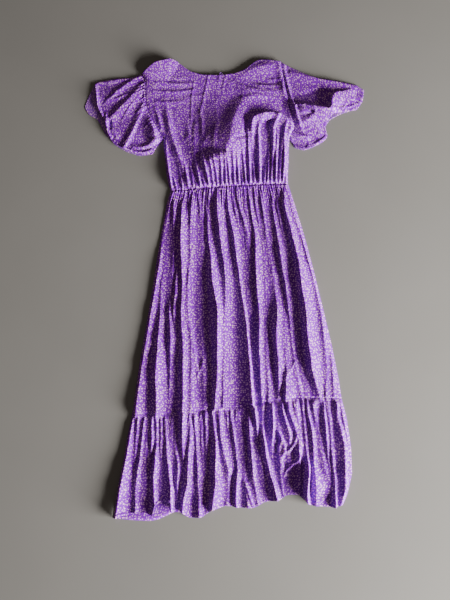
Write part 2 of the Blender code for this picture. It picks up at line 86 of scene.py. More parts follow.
# Edges and seams, from left to right or from the top down
NECK_AND_SHOULDERS: Pairs = (
    (-250, 609), (-212, 642), (-162, 656), (-139, 644), (-106, 617), (-70, 606),
    (-15, 605), (30, 611), (62, 625), (84, 646), (102, 657), (135, 656), (168, 650),
)
FRONT_NECK_AND_SHOULDERS: Pairs = (
    (-250, 609), (-212, 642), (-162, 656), (-140, 600), (-95, 550), (-30, 528),
    (35, 550), (80, 600), (102, 657), (135, 656), (168, 650),
)
ARMHOLE_LEFT: Pairs = (
    (-250, 609), (-239, 585), (-240, 558), (-236, 512), (-220, 467), (-199, 430), (-181, 400),
)
ARMHOLE_RIGHT: Pairs = (
    (168, 650), (172, 611), (180, 558), (190, 509), (200, 460), (203, 428), (189, 400),
)
BODICE_SIDE_LEFT: Pairs = ((-181, 400), (-179, 362), (-173, 322), (-170, 290), (-163, 258), (-157, 236))
BODICE_SIDE_RIGHT: Pairs = ((189, 400), (186, 362), (185, 325), (182, 291), (182, 259))
WAIST: Pairs = ((-157, 236), (-80, 243), (0, 250), (90, 255), (182, 259))
SKIRT_SIDE_LEFT: Pairs = (
    (-157, 236), (-167, 200), (-181, 110), (-192, 30), (-202, -50), (-216, -150), (-231, -250), (-247, -388),
)
SKIRT_SIDE_RIGHT: Pairs = (
    (182, 259), (199, 200), (226, 100), (249, 0), (270, -100), (290, -200), (307, -300), (312, -347),
)
TIER_SEAM: Pairs = (
    (-247, -388), (-155, -388), (-113, -376), (-70, -381), (-17, -365), (24, -372), (145, -351),
    (196, -345), (312, -347),
)
TIER_SIDE_LEFT: Pairs = ((-247, -388), (-257, -440), (-266, -500), (-279, -575), (-288, -650))
TIER_SIDE_RIGHT: Pairs = ((312, -347), (324, -400), (332, -470), (332, -540), (318, -590), (305, -617))
HEM_BACK: Pairs = (
    (-288, -650), (-262, -641), (-235, -635), (-205, -636), (-186, -644), (-181, -618), (-165, -606),
    (-143, -610), (-140, -636), (-122, -628), (-92, -648), (-57, -646), (-34, -628), (2, -618), (40, -623),
    (73, -624), (104, -609), (145, -603), (160, -592), (190, -592), (208, -606), (222, -618), (260, -621),
    (288, -622), (305, -617),
)
HEM_FRONT: Pairs = (
    (-288, -650), (-240, -655), (-193, -657), (-172, -653), (-130, -634), (-92, -640), (-34, -624),
    (2, -612), (73, -612), (145, -598), (190, -584), (222, -612), (288, -616), (305, -617),
)
SLEEVE_LEFT_TOP: Pairs = ((-250, 609), (-280, 596), (-325, 594), (-382, 584), (-392, 574))
SLEEVE_LEFT_UNDERARM: Pairs = ((-181, 400), (-200, 376), (-212, 352))
SLEEVE_LEFT_CUFF: Pairs = (
    (-392, 574), (-386, 530), (-384, 497), (-360, 466), (-350, 425), (-328, 386), (-292, 364),
    (-262, 353), (-232, 347), (-212, 352),
)
SLEEVE_LEFT_UNDER_CUFF: Pairs = (
    (-392, 574), (-408, 536), (-419, 500), (-405, 477), (-378, 462), (-352, 414), (-325, 382),
    (-290, 360), (-250, 346), (-212, 352),
)
SLEEVE_RIGHT_TOP: Pairs = (
    (168, 650), (200, 630), (241, 611), (280, 595), (355, 583), (394, 573), (416, 556),
)
SLEEVE_RIGHT_UNDERARM: Pairs = ((189, 400), (199, 385), (205, 372))
SLEEVE_RIGHT_CUFF: Pairs = (
    (416, 556), (410, 519), (391, 490), (355, 484), (322, 477), (303, 455), (294, 430), (302, 406),
    (289, 389), (255, 373), (228, 362), (205, 372),
)
SLEEVE_RIGHT_UNDER_CUFF: Pairs = (
    (416, 556), (404, 516), (380, 492), (345, 480), (312, 462), (296, 440), (289, 420), (293, 400),
    (278, 384), (250, 370), (228, 364), (205, 372),
)


class Held(Enum):
    """How a piece of cloth lies."""

    LAID = "laid"
    GATHERED = "gathered"


class Edge(Enum):
    """An edge of a piece from which distances are kept."""

    HEM = "hem"
    SEAM = "seam"


@dataclass(frozen=True)
class Fold:
    """One long fold, read at the stations of its set.

    Attributes:
        crest: where its crest lies across the piece.
        lit: where the lit slope on its right ends.
        full: how full it is. At 1 its crest shades all that lies between it and the fold on its left.
        floor: height of the valley on its right.
    """

    crest: Numbers
    lit: Numbers
    full: Numbers
    floor: Numbers = (0,)


@dataclass(frozen=True)
class Crease:
    """One soft ridge, or trough if its rise is below 0, along a path of its own.

    Attributes:
        path: points that it runs through.
        left: width of its slope on the left, going along the path.
        right: width of its slope on the right.
        rise: height at each of its points.
    """

    path: Pairs
    left: float
    right: float
    rise: Numbers


@dataclass(frozen=True)
class Mound:
    """A broad soft rise of the cloth.

    Attributes:
        x: its middle across.
        y: its middle along.
        wide: its half-width across.
        long: its half-length along.
        rise: its height.
    """

    x: float
    y: float
    wide: float
    long: float
    rise: float


@dataclass(frozen=True)
class Gather:
    """One gather that runs up the bodice from the waist.

    Attributes:
        foot: its place at the waist, across.
        tip: its place across where it dies out.
        top: its place along where it dies out.
        width: width of its slope on the right.
        rise: height that it starts with, for a fullness of 1.
    """

    foot: float
    tip: float
    top: float
    width: float
    rise: float


SKIRT_STATIONS: Numbers = (240, 190, 110, 35, -40, -115, -190, -270, -350)
SKIRT_FOLDS = (
    Fold((-156, -163, -180, -182, -193, -206, -216, -226, -237),
         (-155, -161, -174, -174, -183, -195, -203, -209, -215), (0.2, 0.4, 0.5, 1, 1, 1, 1, 0.9, 0.9)),
    Fold((-154, -158, -170, -169, -178, -178, -182, -187, -183),
         (-152, -156, -168, -165, -172, -171, -163, -158, -156), (0, 0, 0, 0.2, 0.4, 1, 1, 1, 1)),
    Fold((-150, -146, -146, -145, -147, -154, -148, -149, -150),
         (-145, -133, -139, -138, -145, -147, -134, -141, -143), (0.8, 1, 0.6, 1.1, 0.3, 0.8, 1, 0.7, 0.2),
         (0, 0, 0, 0, 0, 3, 3, 1, 0)),
    Fold((-133, -131, -133, -134, -137, -143, -133, -140, -142),
         (-128, -130, -131, -130, -126, -131, -132, -139, -141), (0.6, 0, 0, 0.1, 1, 0.8, 0, 0, 0),
         (0, 1, 1, 1, 2, 3, 3, 1, 0)),
    Fold((-115, -124, -126, -123, -118, -122, -115, -113, -113),
         (-108, -110, -108, -104, -113, -112, -101, -99, -100), (0.6, 0.9, 1, 1, 1, 1, 1, 1, 1),
         (0, 1, 3, 4, 6, 7, 5, 5, 5)),
    Fold((-94, -95, -100, -96, -103, -102, -92, -90, -92),
         (-87, -81, -84, -81, -83, -86, -83, -79, -72), (1, 1, 0.5, 0.6, 0.5, 0.4, 0.8, 0.6, 0.5)),
    Fold((-78, -73, -66, -65, -72, -72, -62, -60, -53),
         (-52, -64, -60, -61, -66, -63, -55, -52, -45), (0.3, 0.7, 0.1, 0, 0.1, 0.1, 0.5, 0.7, 0.5)),
    Fold((-43, -54, -48, -40, -34, -19, -22, -20, -27), (-33, -48, -39, -26, -16, -3, -4, -7, -15),
         (0.7, 1.2, 1.2, 1.3, 1.5, 1.5, 1.4, 1.2, 1.1), (0, 0, 0, 0, 3, 8, 8, 6, 6)),
    Fold((-26, -23, -16, -5, 3, -1, -2, -4, -5), (-10, 1, 9, 13, 16, 14, 13, 12, 14),
         (0.6, 1, 1, 1, 1, 1, 1, 1, 1)),
    Fold((9, 8, 23, 33, 43, 55, 63, 68, 74), (15, 18, 43, 51, 52, 64, 72, 76, 82),
         (0.6, 1, 1, 1.1, 1.3, 1.5, 1.6, 1.6, 1.6)),
    Fold((22, 25, 44, 52, 53, 65, 73, 77, 83), (26, 32, 45, 53, 54, 66, 74, 78, 84),
         (0.6, 1, 0, 0, 0, 0, 0, 0, 0)),
    Fold((31, 41, 63, 76, 79, 88, 86, 88, 93), (45, 49, 73, 80, 80, 89, 87, 89, 94),
         (0.7, 1.1, 0.7, 0.3, 0, 0, 0, 0, 0)),
    Fold((57, 55, 75, 81, 82, 90, 88, 90, 95), (61, 61, 76, 82, 83, 91, 89, 91, 96),
         (0.6, 0.6, 0, 0, 0, 0, 0, 0, 0)),
    Fold((67, 72, 85, 85, 86, 93, 91, 93, 98), (80, 80, 100, 108, 108, 112, 106, 104, 107),
         (0.8, 1.1, 0.8, 0.9, 1, 1.1, 1.2, 1.2, 1.2), (0, 0, 0, 0, 0, 0, 4, 3, 1)),
    Fold((85, 86, 101, 109, 109, 113, 112, 115, 118), (95, 93, 102, 110, 110, 114, 119, 122, 127),
         (0.8, 1, 0, 0, 0, 0, 0.5, 0.8, 1)),
    Fold((102, 107, 115, 127, 139, 144, 137, 145, 142), (118, 116, 128, 141, 153, 162, 155, 158, 150),
         (0.7, 0.9, 0.4, 0.2, 0.5, 1, 1.1, 1.1, 0.6), (0, 0, 0, 0, 0, 2, 6, 6, 0)),
    Fold((119, 118, 130, 143, 155, 164, 162, 166, 160), (120, 119, 131, 144, 156, 165, 173, 182, 192),
         (0, 0, 0, 0, 0, 0, 0.3, 0.5, 0.9), (0, 0, 0, 0, 0, 2, 4, 4, 0)),
    Fold((137, 135, 147, 156, 167, 176, 181, 192, 207), (146, 141, 161, 179, 184, 189, 191, 199, 215),
         (1, 1.2, 1.1, 1, 1.1, 1.1, 0.9, 0.5, 0.8)),
    Fold((152, 147, 163, 181, 186, 191, 193, 201, 218), (161, 156, 170, 183, 187, 192, 194, 203, 225),
         (0.7, 0.8, 0.4, 0.1, 0, 0, 0, 0, 0.3)),
    Fold((170, 168, 187, 203, 210, 221, 223, 232, 255), (180, 184, 206, 226, 244, 249, 256, 262, 263),
         (0.8, 0.9, 0.9, 1, 0.9, 1, 1, 1, 0.8), (2, 5, 4, 4, 4, 4, 4, 4, 2)),
    Fold((182, 188, 213, 232, 252, 263, 271, 275, 269), (183, 197, 224, 247, 263, 277, 287, 281, 280),
         (0.4, 0.6, 0.8, 0.8, 0.8, 0.9, 0.9, 0.4, 0.8), (1, 3, 1, 1, 1, 0, 0, 3, 1)),
    Fold((184, 199, 225, 248, 265, 279, 289, 289, 292), (185, 201, 226, 249, 267, 281, 291, 303, 299),
         (0.2, 0.3, 0, 0, 0, 0, 0, 0.9, 0.8)),
)

TIER_STATIONS: Numbers = (-375, -410, -450, -490, -530, -570, -615)
TIER_FOLDS = (
    Fold((-243, -247, -255, -261, -268, -275, -282), (-238, -241, -241, -242, -240, -246, -245),
         (1, 1.2, 1.1, 1.1, 1.1, 1.1, 1)),
    Fold((-227, -230, -234, -237, -237, -243, -242), (-221, -227, -228, -232, -235, -242, -241),
         (0.9, 1, 1, 0.8, 0, 0, 0)),
    Fold((-212, -215, -217, -221, -227, -231, -231), (-207, -209, -212, -215, -218, -220, -220),
         (0.4, 0.8, 1, 1.1, 1.1, 1, 1)),
    Fold((-205, -206, -207, -209, -208, -204, -203), (-203, -203, -201, -202, -203, -202, -201),
         (0, 0, 0.3, 0.4, 0.2, 0.1, 0)),
    Fold((-193, -192, -193, -193, -196, -198, -198), (-190, -188, -187, -190, -195, -197, -197),
         (0.3, 0.8, 1.1, 0.4, 0, 0, 0)),
    Fold((-185, -181, -178, -182, -184, -185, -181), (-177, -175, -173, -174, -166, -176, -165),
         (1.1, 1.1, 1, 1, 0.9, 0.7, 0.8)),
    Fold((-171, -170, -168, -170, -165, -166, -162), (-163, -164, -163, -163, -164, -165, -161),
         (0.9, 1, 1, 0.9, 0, 0, 0)),
    Fold((-159, -158, -156, -151, -146, -140, -138), (-149, -150, -149, -141, -138, -132, -127),
         (0.8, 1, 1.2, 1.2, 1.1, 0.5, 1)),
    Fold((-136, -137, -143, -138, -135, -130, -124), (-135, -134, -138, -137, -134, -129, -123),
         (0, 0.2, 0.6, 0, 0, 0, 0)),
    Fold((-128, -129, -134, -128, -120, -126, -121), (-126, -127, -129, -121, -114, -119, -118),
         (0, 0.1, 0.3, 0.5, 1.1, 0.8, 0)),
    Fold((-112, -113, -112, -110, -112, -116, -117), (-102, -98, -101, -103, -111, -115, -115),
         (1, 1, 1, 1, 0, 0, 0), (5, 5, 4, 3, 0, 0, 0)),
    Fold((-97, -91, -91, -96, -96, -98, -111), (-87, -85, -82, -81, -81, -82, -86),
         (0.5, 0.6, 1, 1.1, 1.1, 1.1, 0.9), (3, 3, 2, 1, 0, 0, 0)),
    Fold((-82, -80, -76, -75, -70, -70, -66), (-71, -70, -68, -66, -56, -54, -53),
         (0.8, 0.9, 1, 1.1, 0.9, 0.9, 1)),
    Fold((-63, -63, -61, -59, -55, -52, -51), (-60, -57, -56, -55, -54, -51, -50),
         (0.2, 0.5, 0.8, 0.7, 0, 0, 0)),
    Fold((-51, -52, -50, -48, -47, -46, -46), (-45, -44, -42, -42, -44, -44, -43),
         (0.7, 1, 0.9, 0.5, 0.2, 0.1, 0.3)),
    Fold((-34, -30, -24, -23, -25, -26, -33), (-28, -21, -17, -15, -7, 4, -3),
         (1.1, 1.2, 1.3, 1.3, 1.1, 0.9, 0.9), (2, 2, 2, 3, 4, 3, 2)),
    Fold((-16, -14, -11, -4, 12, 9, 5), (-4, 1, 8, 16, 25, 14, 15), (0.9, 1, 1, 0.9, 0.8, 0.2, 0.4)),
    Fold((2, 6, 11, 19, 26, 16, 17), (9, 11, 13, 20, 27, 17, 18), (0.8, 0.7, 0, 0, 0, 0, 0)),
    Fold((14, 18, 25, 31, 34, 28, 29), (21, 25, 31, 38, 46, 40, 42), (1, 1, 1, 0.9, 0.8, 1, 1)),
    Fold((33, 38, 52, 54, 50, 50, 61), (38, 42, 56, 58, 54, 60, 77), (0.2, 0.1, 0.2, 0.2, 0.1, 1, 0.9)),
    Fold((60, 66, 66, 69, 73, 77, 86), (62, 73, 76, 79, 81, 96, 100), (0, 0.6, 1, 1, 1, 0.9, 0.7),
         (0, 2, 4, 4, 1, 0, 0)),
    Fold((78, 84, 87, 89, 98, 103, 112), (86, 90, 90, 91, 103, 105, 114), (1.3, 1.2, 0.5, 0.3, 0.4, 0, 0),
         (0, 0, 5, 5, 1, 0, 0)),
    Fold((102, 98, 102, 108, 115, 127, 139), (108, 102, 107, 115, 129, 139, 151),
         (1, 0.8, 1.6, 1.5, 1.1, 1.1, 1)),
    Fold((126, 129, 125, 121, 131, 141, 153), (132, 136, 132, 128, 132, 142, 154),
         (1.3, 1.3, 1.3, 1.2, 0, 0, 0)),
    Fold((139, 140, 145, 139, 146, 146, 156), (144, 144, 157, 158, 156, 156, 157),
         (0.3, 0.3, 1.1, 1.1, 1.1, 0.9, 0)),
    Fold((152, 162, 174, 165, 178, 173, 173), (160, 170, 187, 175, 184, 176, 176),
         (1.2, 1.2, 0.9, 0.5, 0.3, 0, 0)),
    Fold((168, 180, 194, 194, 198, 197, 193), (180, 193, 201, 202, 201, 199, 198),
         (1, 0.9, 0.9, 1.1, 0.3, 0, 0.1), (4, 3, 0, 0, 0, 0, 0)),
    Fold((190, 196, 203, 204, 203, 201, 200), (200, 202, 204, 205, 204, 202, 201), (0.6, 0.5, 0, 0, 0, 0, 0)),
    Fold((208, 210, 214, 215, 218, 211, 210), (213, 215, 219, 221, 226, 222, 224),
         (0.6, 0.5, 0.7, 0.8, 1.3, 1.3, 1.2)),
    Fold((219, 226, 232, 233, 232, 234, 235), (225, 233, 243, 243, 246, 276, 254),
         (1, 1, 1.1, 1.1, 0.8, 0.9, 0.7), (1, 1, 0, 0, 1, 0, 0)),
    Fold((236, 244, 250, 257, 261, 277, 256), (251, 253, 254, 262, 271, 278, 257),
         (0.8, 0.6, 0.2, 0.5, 0.5, 0, 0), (0, 0, 0, 1, 2, 0, 0)),
    Fold((263, 266, 269, 269, 275, 279, 268), (268, 271, 276, 274, 277, 280, 269),
         (0.9, 1.1, 1.1, 0.6, 0.1, 0, 0), (1, 1, 2, 2, 1, 0, 0)),
    Fold((275, 278, 281, 280, 283, 288, 284), (283, 286, 287, 290, 290, 292, 291),
         (1, 1, 0.9, 1, 0.5, 0.8, 1.2)),
    Fold((298, 301, 311, 317, 312, 314, 302), (306, 311, 320, 328, 322, 322, 309),
         (1.2, 1.2, 1.1, 1, 1, 1, 1.1), (2, 2, 2, 0, 0, 0, 0)),
    Fold((312, 317, 324, 329, 325, 324, 310), (320, 325, 329, 330, 326, 325, 311),
         (0.9, 0.9, 0.7, 0, 0, 0, 0)),
)

# Ridges and troughs that run ways of their own
BODICE_MOUNDS = (Mound(110, 420, 70, 95, 6),)
BODICE_CREASES = (
    Crease(((102, 538), (71, 528), (49, 510), (36, 484), (26, 455), (19, 424)), 40, 40,
           (1, 2.5, 4.5, 6, 5, 1)),
    Crease(((49, 510), (36, 484), (26, 455), (19, 424), (15, 396), (12, 372), (8, 352)), 92, 138,
           (1, 5, 11, 19, 25, 25, 18)),
    Crease(((76, 415), (77, 440), (86, 460), (106, 471), (140, 474), (165, 468), (184, 450), (197, 430)),
           13, 26, (3, 7, 9, 11, 12, 12, 8, 3)),
    Crease(((118, 468), (104, 446), (97, 420), (97, 380), (96, 320)), 7, 14, (2, 4.5, 4.5, 4, 2.5)),
    Crease(((82, 462), (80, 435), (79, 405), (78, 370)), 9, 13, (3, 4.5, 4, 2)),
    Crease(((56, 470), (60, 445), (56, 415), (66, 398)), 7, 8, (-1.5, -3, -3, -2)),
    Crease(((122, 432), (130, 452), (148, 456)), 12, 12, (-2, -4, -2)),
    Crease(
        ((164, 475), (151, 455), (144, 435), (143, 400), (144, 350), (146, 300)),
        7, 15, (2, 7, 8, 7, 5, 3),
    ),
    Crease(((184, 455), (176, 425), (173, 390), (173, 340), (174, 285)), 6, 14, (2, 5, 6, 5, 3)),
    Crease(((140, 470), (138, 440), (137, 400)), 6, 7, (0.5, 2.5, 2)),
    Crease(((52, 525), (90, 531), (130, 530), (160, 523)), 14, 26, (1.5, 2.5, 3, 2)),
    Crease(((18, 562), (60, 551), (110, 546), (165, 548)), 34, 30, (1, 3, 4.5, 4)),
    Crease(((10, 583), (45, 570), (78, 556), (100, 552)), 9, 12, (0.5, 1.5, 2, 0.5)),
    Crease(((62, 580), (100, 568), (160, 566)), 8, 12, (0.5, 2, 1.5)),
    Crease(((98, 594), (130, 586), (162, 588)), 7, 10, (0.5, 1.5, 1.5)),
    Crease(((45, 598), (85, 622), (125, 634), (162, 634)), 26, 42, (1.5, 4, 4.5, 2.5)),
    Crease(((-250, 607), (-238, 618), (-212, 640), (-190, 649), (-162, 654), (-142, 645)), 3, 82,
           (3, 7, 10, 10, 8, 3)),
    Crease(((-205, 576), (-150, 572), (-95, 575)), 10, 12, (1, 2.5, 1)),
    Crease(((-212, 550), (-150, 546), (-92, 553)), 9, 13, (1, 2.5, 1.5)),
    Crease(((-205, 516), (-160, 512), (-112, 520)), 9, 14, (1, 2, 0.5)),
    Crease(((-120, 530), (-70, 536), (-20, 528)), 9, 14, (0.5, 1, 0.5)),
    Crease(((-190, 597), (-140, 593), (-100, 597)), 7, 10, (0.5, 1, 0.5)),
    Crease(((-92, 582), (-99, 530), (-101, 441)), 6, 5, (0.5, 1.5, 1)),
    Crease(((-50, 600), (-60, 545), (-73, 477)), 7, 6, (1, 1.5, 1)),
    Crease(((-16, 603), (-22, 560)), 6, 6, (1.5, 0.5)),
    Crease(((4, 602), (-4, 575), (-8, 548)), 6, 6, (1, 1, 0.5)),
    Crease(((-82, 470), (-92, 420), (-90, 350)), 16, 12, (0.5, 2, 1.5)),
    Crease(((-74, 500), (-68, 450), (-66, 405)), 9, 12, (1, 2.5, 1)),
    Crease(((-26, 440), (-32, 400), (-34, 360)), 12, 9, (0.5, 1.5, 0.5)),
    Crease(((-176, 510), (-172, 480), (-166, 450), (-154, 400), (-137, 350), (-120, 300), (-108, 262)),
           16, 20, (1, 4, 6, 6, 6, 5, 4)),
    Crease(((-54, 266), (-54, 298), (-44, 324), (-14, 334), (14, 340)), 44, 70, (3, 9, 10, 9, 4)),
    Crease(((-112, 455), (-106, 420), (-104, 380)), 12, 20, (1, 3, 2)),
    Crease(((-207, 495), (-196, 462), (-187, 430)), 12, 9, (1.5, 4, 2.5)),
    Crease(((-177, 385), (-171, 340), (-164, 290), (-156, 250)), 9, 5, (2, 4, 4, 2.5)),
    Crease(((167, 632), (173, 600), (181, 550), (190, 509), (199, 468), (202, 438)), 4, 22,
           (1.5, 6, 6, 5, 5, 2.5)),
    Crease(((198, 450), (192, 420), (188, 390), (184, 340)), 9, 11, (1.5, 2, 1.5, 1)),
    Crease(((34, 392), (62, 402)), 9, 9, (-2.5, -2)),
)

# From left to right along the waist
BODICE_GATHERS = (
    Gather(-152, -176, 372, 6, 5), Gather(-136, -158, 300, 5, 3), Gather(-120, -136, 312, 5, 2.5),
    Gather(-103, -122, 345, 6, 4), Gather(-88, -104, 330, 5, 3.5), Gather(-78, -96, 300, 4, 2.5),
    Gather(-68, -93, 352, 7, 5), Gather(-55, -77, 310, 5, 3), Gather(-43, -73, 372, 6, 5),
    Gather(-31, -48, 345, 5, 4), Gather(-19, -37, 352, 5, 4), Gather(-8, -15, 352, 6, 4.5),
    Gather(4, -2, 352, 6, 4.5), Gather(16, 2, 366, 6, 5), Gather(29, 20, 366, 6, 5),
    Gather(41, 34, 362, 6, 5), Gather(52, 44, 330, 5, 3.5), Gather(61, 48, 385, 7, 5.5),
    Gather(73, 64, 450, 7, 6.5), Gather(86, 80, 340, 5, 4), Gather(100, 99, 446, 8, 7),
    Gather(112, 122, 350, 5, 3.5), Gather(122, 129, 392, 6, 4.5), Gather(132, 142, 425, 6, 5),
    Gather(145, 155, 470, 7, 6), Gather(156, 166, 410, 6, 5), Gather(166, 176, 390, 5, 4.5),
    Gather(174, 182, 340, 4, 3),
)

SLEEVE_LEFT_CREASES = (
    Crease(((-262, 600), (-320, 588), (-382, 577)), 12, 12, (1, 2, 2)),
    Crease(((-252, 600), (-275, 588), (-300, 569), (-325, 546), (-342, 528), (-356, 516)), 15, 9,
           (1.5, 3, 4, 4, 3, 1.5)),
    Crease(((-290, 541), (-318, 527), (-338, 519)), 8, 6, (1, 2.5, 1)),
    Crease(((-243, 574), (-262, 552), (-290, 517), (-318, 487), (-340, 461), (-350, 446)), 28, 12,
           (2, 4, 5, 5, 4.5, 3)),
    Crease(((-250, 541), (-272, 512), (-292, 480), (-305, 450)), 7, 6, (0.5, 1.4, 1.6, 0.5)),
    Crease(((-240, 507), (-247, 482), (-257, 455), (-268, 425), (-282, 392), (-296, 368)), 8, 22,
           (1.5, 3, 4.5, 5.5, 5.5, 4)),
    Crease(((-240, 520), (-248, 496), (-262, 474)), 6, 6, (0.5, 1.5, 0.5)),
    Crease(((-226, 470), (-216, 442), (-206, 416), (-201, 394)), 14, 36, (1, 8, 14, 12)),
    Crease(((-270, 372), (-245, 368), (-222, 375), (-204, 388)), 14, 9, (2, 5, 6, 5)),
    Crease(((-240, 582), (-237, 548), (-239, 520)), 6, 6, (1, 2, 1)),
    Crease(((-388, 572), (-381, 530), (-377, 498), (-362, 470)), 8, 5, (3, 6, 6, 4)),
    Crease(((-352, 478), (-351, 450), (-346, 420), (-335, 398)), 9, 5, (2.5, 5, 4.5, 2.5)),
    Crease(((-340, 454), (-338, 433)), 9, 9, (-4.5, -4)),
    Crease(((-340, 428), (-316, 404)), 12, 12, (3, 3)),
    Crease(((-294, 368), (-262, 357), (-236, 352), (-215, 362)), 10, 7, (4, 4, 5, 4)),
    Crease(((-212, 378), (-199, 392), (-184, 402)), 5, 5, (2, 2.5, 2)),
)
SLEEVE_RIGHT_CREASES = (
    Crease(((198, 616), (250, 598), (320, 583), (388, 565)), 12, 34, (2.5, 4.5, 5, 2.5)),
    Crease(((178, 640), (182, 600), (191, 550), (202, 503), (214, 455), (226, 420), (242, 404)), 9, 15,
           (2, 4, 6, 6, 6, 4, 2)),
    Crease(((311, 490), (312, 504), (314, 519), (321, 535), (338, 544), (374, 553)), 11, 78,
           (9, 14, 17, 17, 10, 3)),
    Crease(((205, 500), (215, 497), (228, 496), (258, 491), (290, 486), (312, 483)), 24, 88,
           (8, 12, 17, 19, 19, 14)),
    Crease(((212, 536), (240, 540), (262, 550), (298, 554)), 14, 34, (-2, -4, -4, -3)),
    Crease(((226, 499), (241, 489), (257, 477)), 8, 7, (-5, -8, -5)),
    Crease(((205, 493), (212, 505), (222, 495), (236, 502)), 5, 5, (1.5, 3, 2, 2)),
    Crease(((250, 499), (260, 485), (266, 473)), 6, 5, (1, 3, 1)),
    Crease(((214, 470), (236, 466), (254, 474)), 9, 9, (-1.5, -3, -1.5)),
    Crease(((221, 446), (243, 451), (263, 463)), 13, 15, (2, 3, 1.5)),
    Crease(((262, 486), (284, 470), (300, 452)), 12, 12, (1.5, 2, 1.5)),
    Crease(((322, 499), (348, 500)), 8, 7, (-2.5, -2.5)),
    Crease(((203, 420), (222, 406), (248, 402)), 9, 13, (3, 5, 2)),
    Crease(((206, 390), (234, 381)), 12, 12, (-4, -4)),
    Crease(((352, 545), (380, 524)), 7, 6, (2, 2)),
    Crease(((350, 497), (378, 500), (398, 512)), 8, 8, (1.5, 2, 1.5)),
    Crease(((264, 382), (280, 390), (294, 404)), 7, 6, (1.5, 3, 2)),
    Crease(((258, 446), (275, 428), (280, 408)), 10, 12, (1, 2.5, 1.5)),
)
SKIRT_CREASES = (
    Crease(((-94, -150), (-84, -215), (-73, -290)), 8, 6, (0.5, 2.5, 1.5)),
    Crease(((-50, -225), (-63, -262), (-77, -294)), 6, 6, (0.5, 2, 1)),
    Crease(((192, -246), (176, -272), (158, -300)), 6, 6, (1, 2, 1)),
    Crease(((192, -246), (206, -285), (223, -312)), 6, 6, (1, 2.4, 1)),
    Crease(((200, -20), (222, -31), (246, -26)), 5, 5, (0.6, 1.2, 0.6)),
    Crease(((56, 95), (66, 60), (80, 40)), 6, 6, (0.5, 1.6, 0.5)),
    Crease(((-112, 40), (-100, 0), (-103, -40)), 5, 5, (0.5, 1.4, 0.5)),
)
TIER_CREASES = (
    Crease(((130, -420), (142, -438), (151, -454), (159, -472), (154, -492), (146, -504), (154, -524)),
           7, 12, (2, 4, 5, 5, 5, 4, 2)),
    Crease(((136, -432), (144, -450), (140, -462), (131, -472), (137, -486)), 6, 7, (-3, -7, -4, -7, -3)),
    Crease(((129, -440), (130, -456), (137, -462), (127, -472), (128, -484), (140, -499)), 4, 4,
           (1, 2, 2.5, 3, 3, 1)),
    Crease(((187, -444), (183, -465), (168, -482), (150, -491)), 8, 8, (3, 5, 5, 2)),
    Crease(((150, -458), (158, -475), (150, -492)), 14, 14, (1, 3, 1)),
    Crease(((196, -438), (202, -470), (198, -498), (180, -516), (160, -527), (154, -548)), 7, 8,
           (2, 3.5, 4, 5, 5, 3)),
    Crease(((184, -532), (180, -565), (186, -592)), 20, 18, (-2, -3.5, -3)),
    Crease(((213, -570), (215, -594), (228, -609), (252, -607), (268, -590)), 8, 8, (0.5, 2, 3, 2, 0.5)),
    Crease(((54, -563), (62, -590), (72, -620)), 16, 6, (3, 5, 4)),
    Crease(((-182, -642), (-180, -615), (-165, -606), (-146, -606)), 7, 8, (3, 4, 4, 3)),
    Crease(((-280, -641), (-262, -637), (-240, -640), (-215, -636), (-195, -639)), 5, 10, (1, 3, 3.5, 3, 1)),
    Crease(((118, -388), (112, -420), (118, -446)), 9, 9, (-2, -3, -1.5)),
)


def smooth(value: np.ndarray | float) -> np.ndarray:
    """Eases a value from 0 to 1 with level ends."""
    value = np.clip(value, 0, 1)
    return value * value * (3 - 2 * value)


def hump(distance: np.ndarray) -> np.ndarray:
    """Section of a ridge: 1 at its crest and 0 from a distance of 1 on."""
    near = 1 - np.clip(np.abs(distance), 0, 1)
    return 0.62 * smooth(near) + 0.38 * near**1.4


def along(points: np.ndarray, count: int) -> np.ndarray:
    """Places count points evenly along a line, ends included.

    Args:
        points: rows of x and y.
        count: number of points wanted.

    Returns:
        The points.
    """
    steps = np.linalg.norm(np.diff(points, axis=0), axis=1)
    reached = np.concatenate([[0], np.cumsum(steps)])
    wanted = np.linspace(0, reached[-1], count)
    return np.stack([np.interp(wanted, reached, points[:, axis]) for axis in (0, 1)], axis=-1)


def rounded(points: Pairs, cells: int) -> np.ndarray:
    """Divides an edge of a table into even cells, in metres, with its corners eased.

    Args:
        points: the table's points, in millimetres.
        cells: number of cells.

    Returns:
        One more point than cells.
    """
    line = np.array(points, float) * MM
    length = np.linalg.norm(np.diff(line, axis=0), axis=1).sum()
    fine = along(line, round(length / EASE_STEP))
    for _ in range(EASE_PASSES):
        fine[1:-1] = (fine[:-2] + 2 * fine[1:-1] + fine[2:]) / 4
    return along(fine, cells + 1)


def shifted(edge: np.ndarray, distance: float) -> np.ndarray:
    """Moves an edge sideways in the plane, to the left of its direction if the distance is above 0.

    Args:
        edge: points of the edge.
        distance: how far, in metres.

    Returns:
        The moved edge.
    """
    way = np.gradient(edge, axis=0)
    way /= np.linalg.norm(way, axis=1)[:, None]
    return edge + distance * np.stack([-way[:, 1], way[:, 0]], axis=-1)


def patch(top: np.ndarray, bottom: np.ndarray, left: np.ndarray, right: np.ndarray) -> np.ndarray:
    """Fills the plane between four edges, row by row from the top, each row from left to right.

    Args:
        top: upper edge, from left to right.
        bottom: lower edge, from left to right.
        left: left edge, from the top down.
        right: right edge, from the top down.

    Returns:
        Rows and columns of x and y.
    """
    left, right = left.copy(), right.copy()
    left[0], left[-1], right[0], right[-1] = top[0], bottom[0], top[-1], bottom[-1]
    rows = np.linspace(0, 1, len(left))[:, None, None]
    columns = np.linspace(0, 1, len(top))[None, :, None]
    across = (1 - rows) * top[None] + rows * bottom[None]
    down = (1 - columns) * left[:, None] + columns * right[:, None]
    corners = (1 - rows) * ((1 - columns) * top[0] + columns * top[-1])
    return across + down - corners - rows * ((1 - columns) * bottom[0] + columns * bottom[-1])


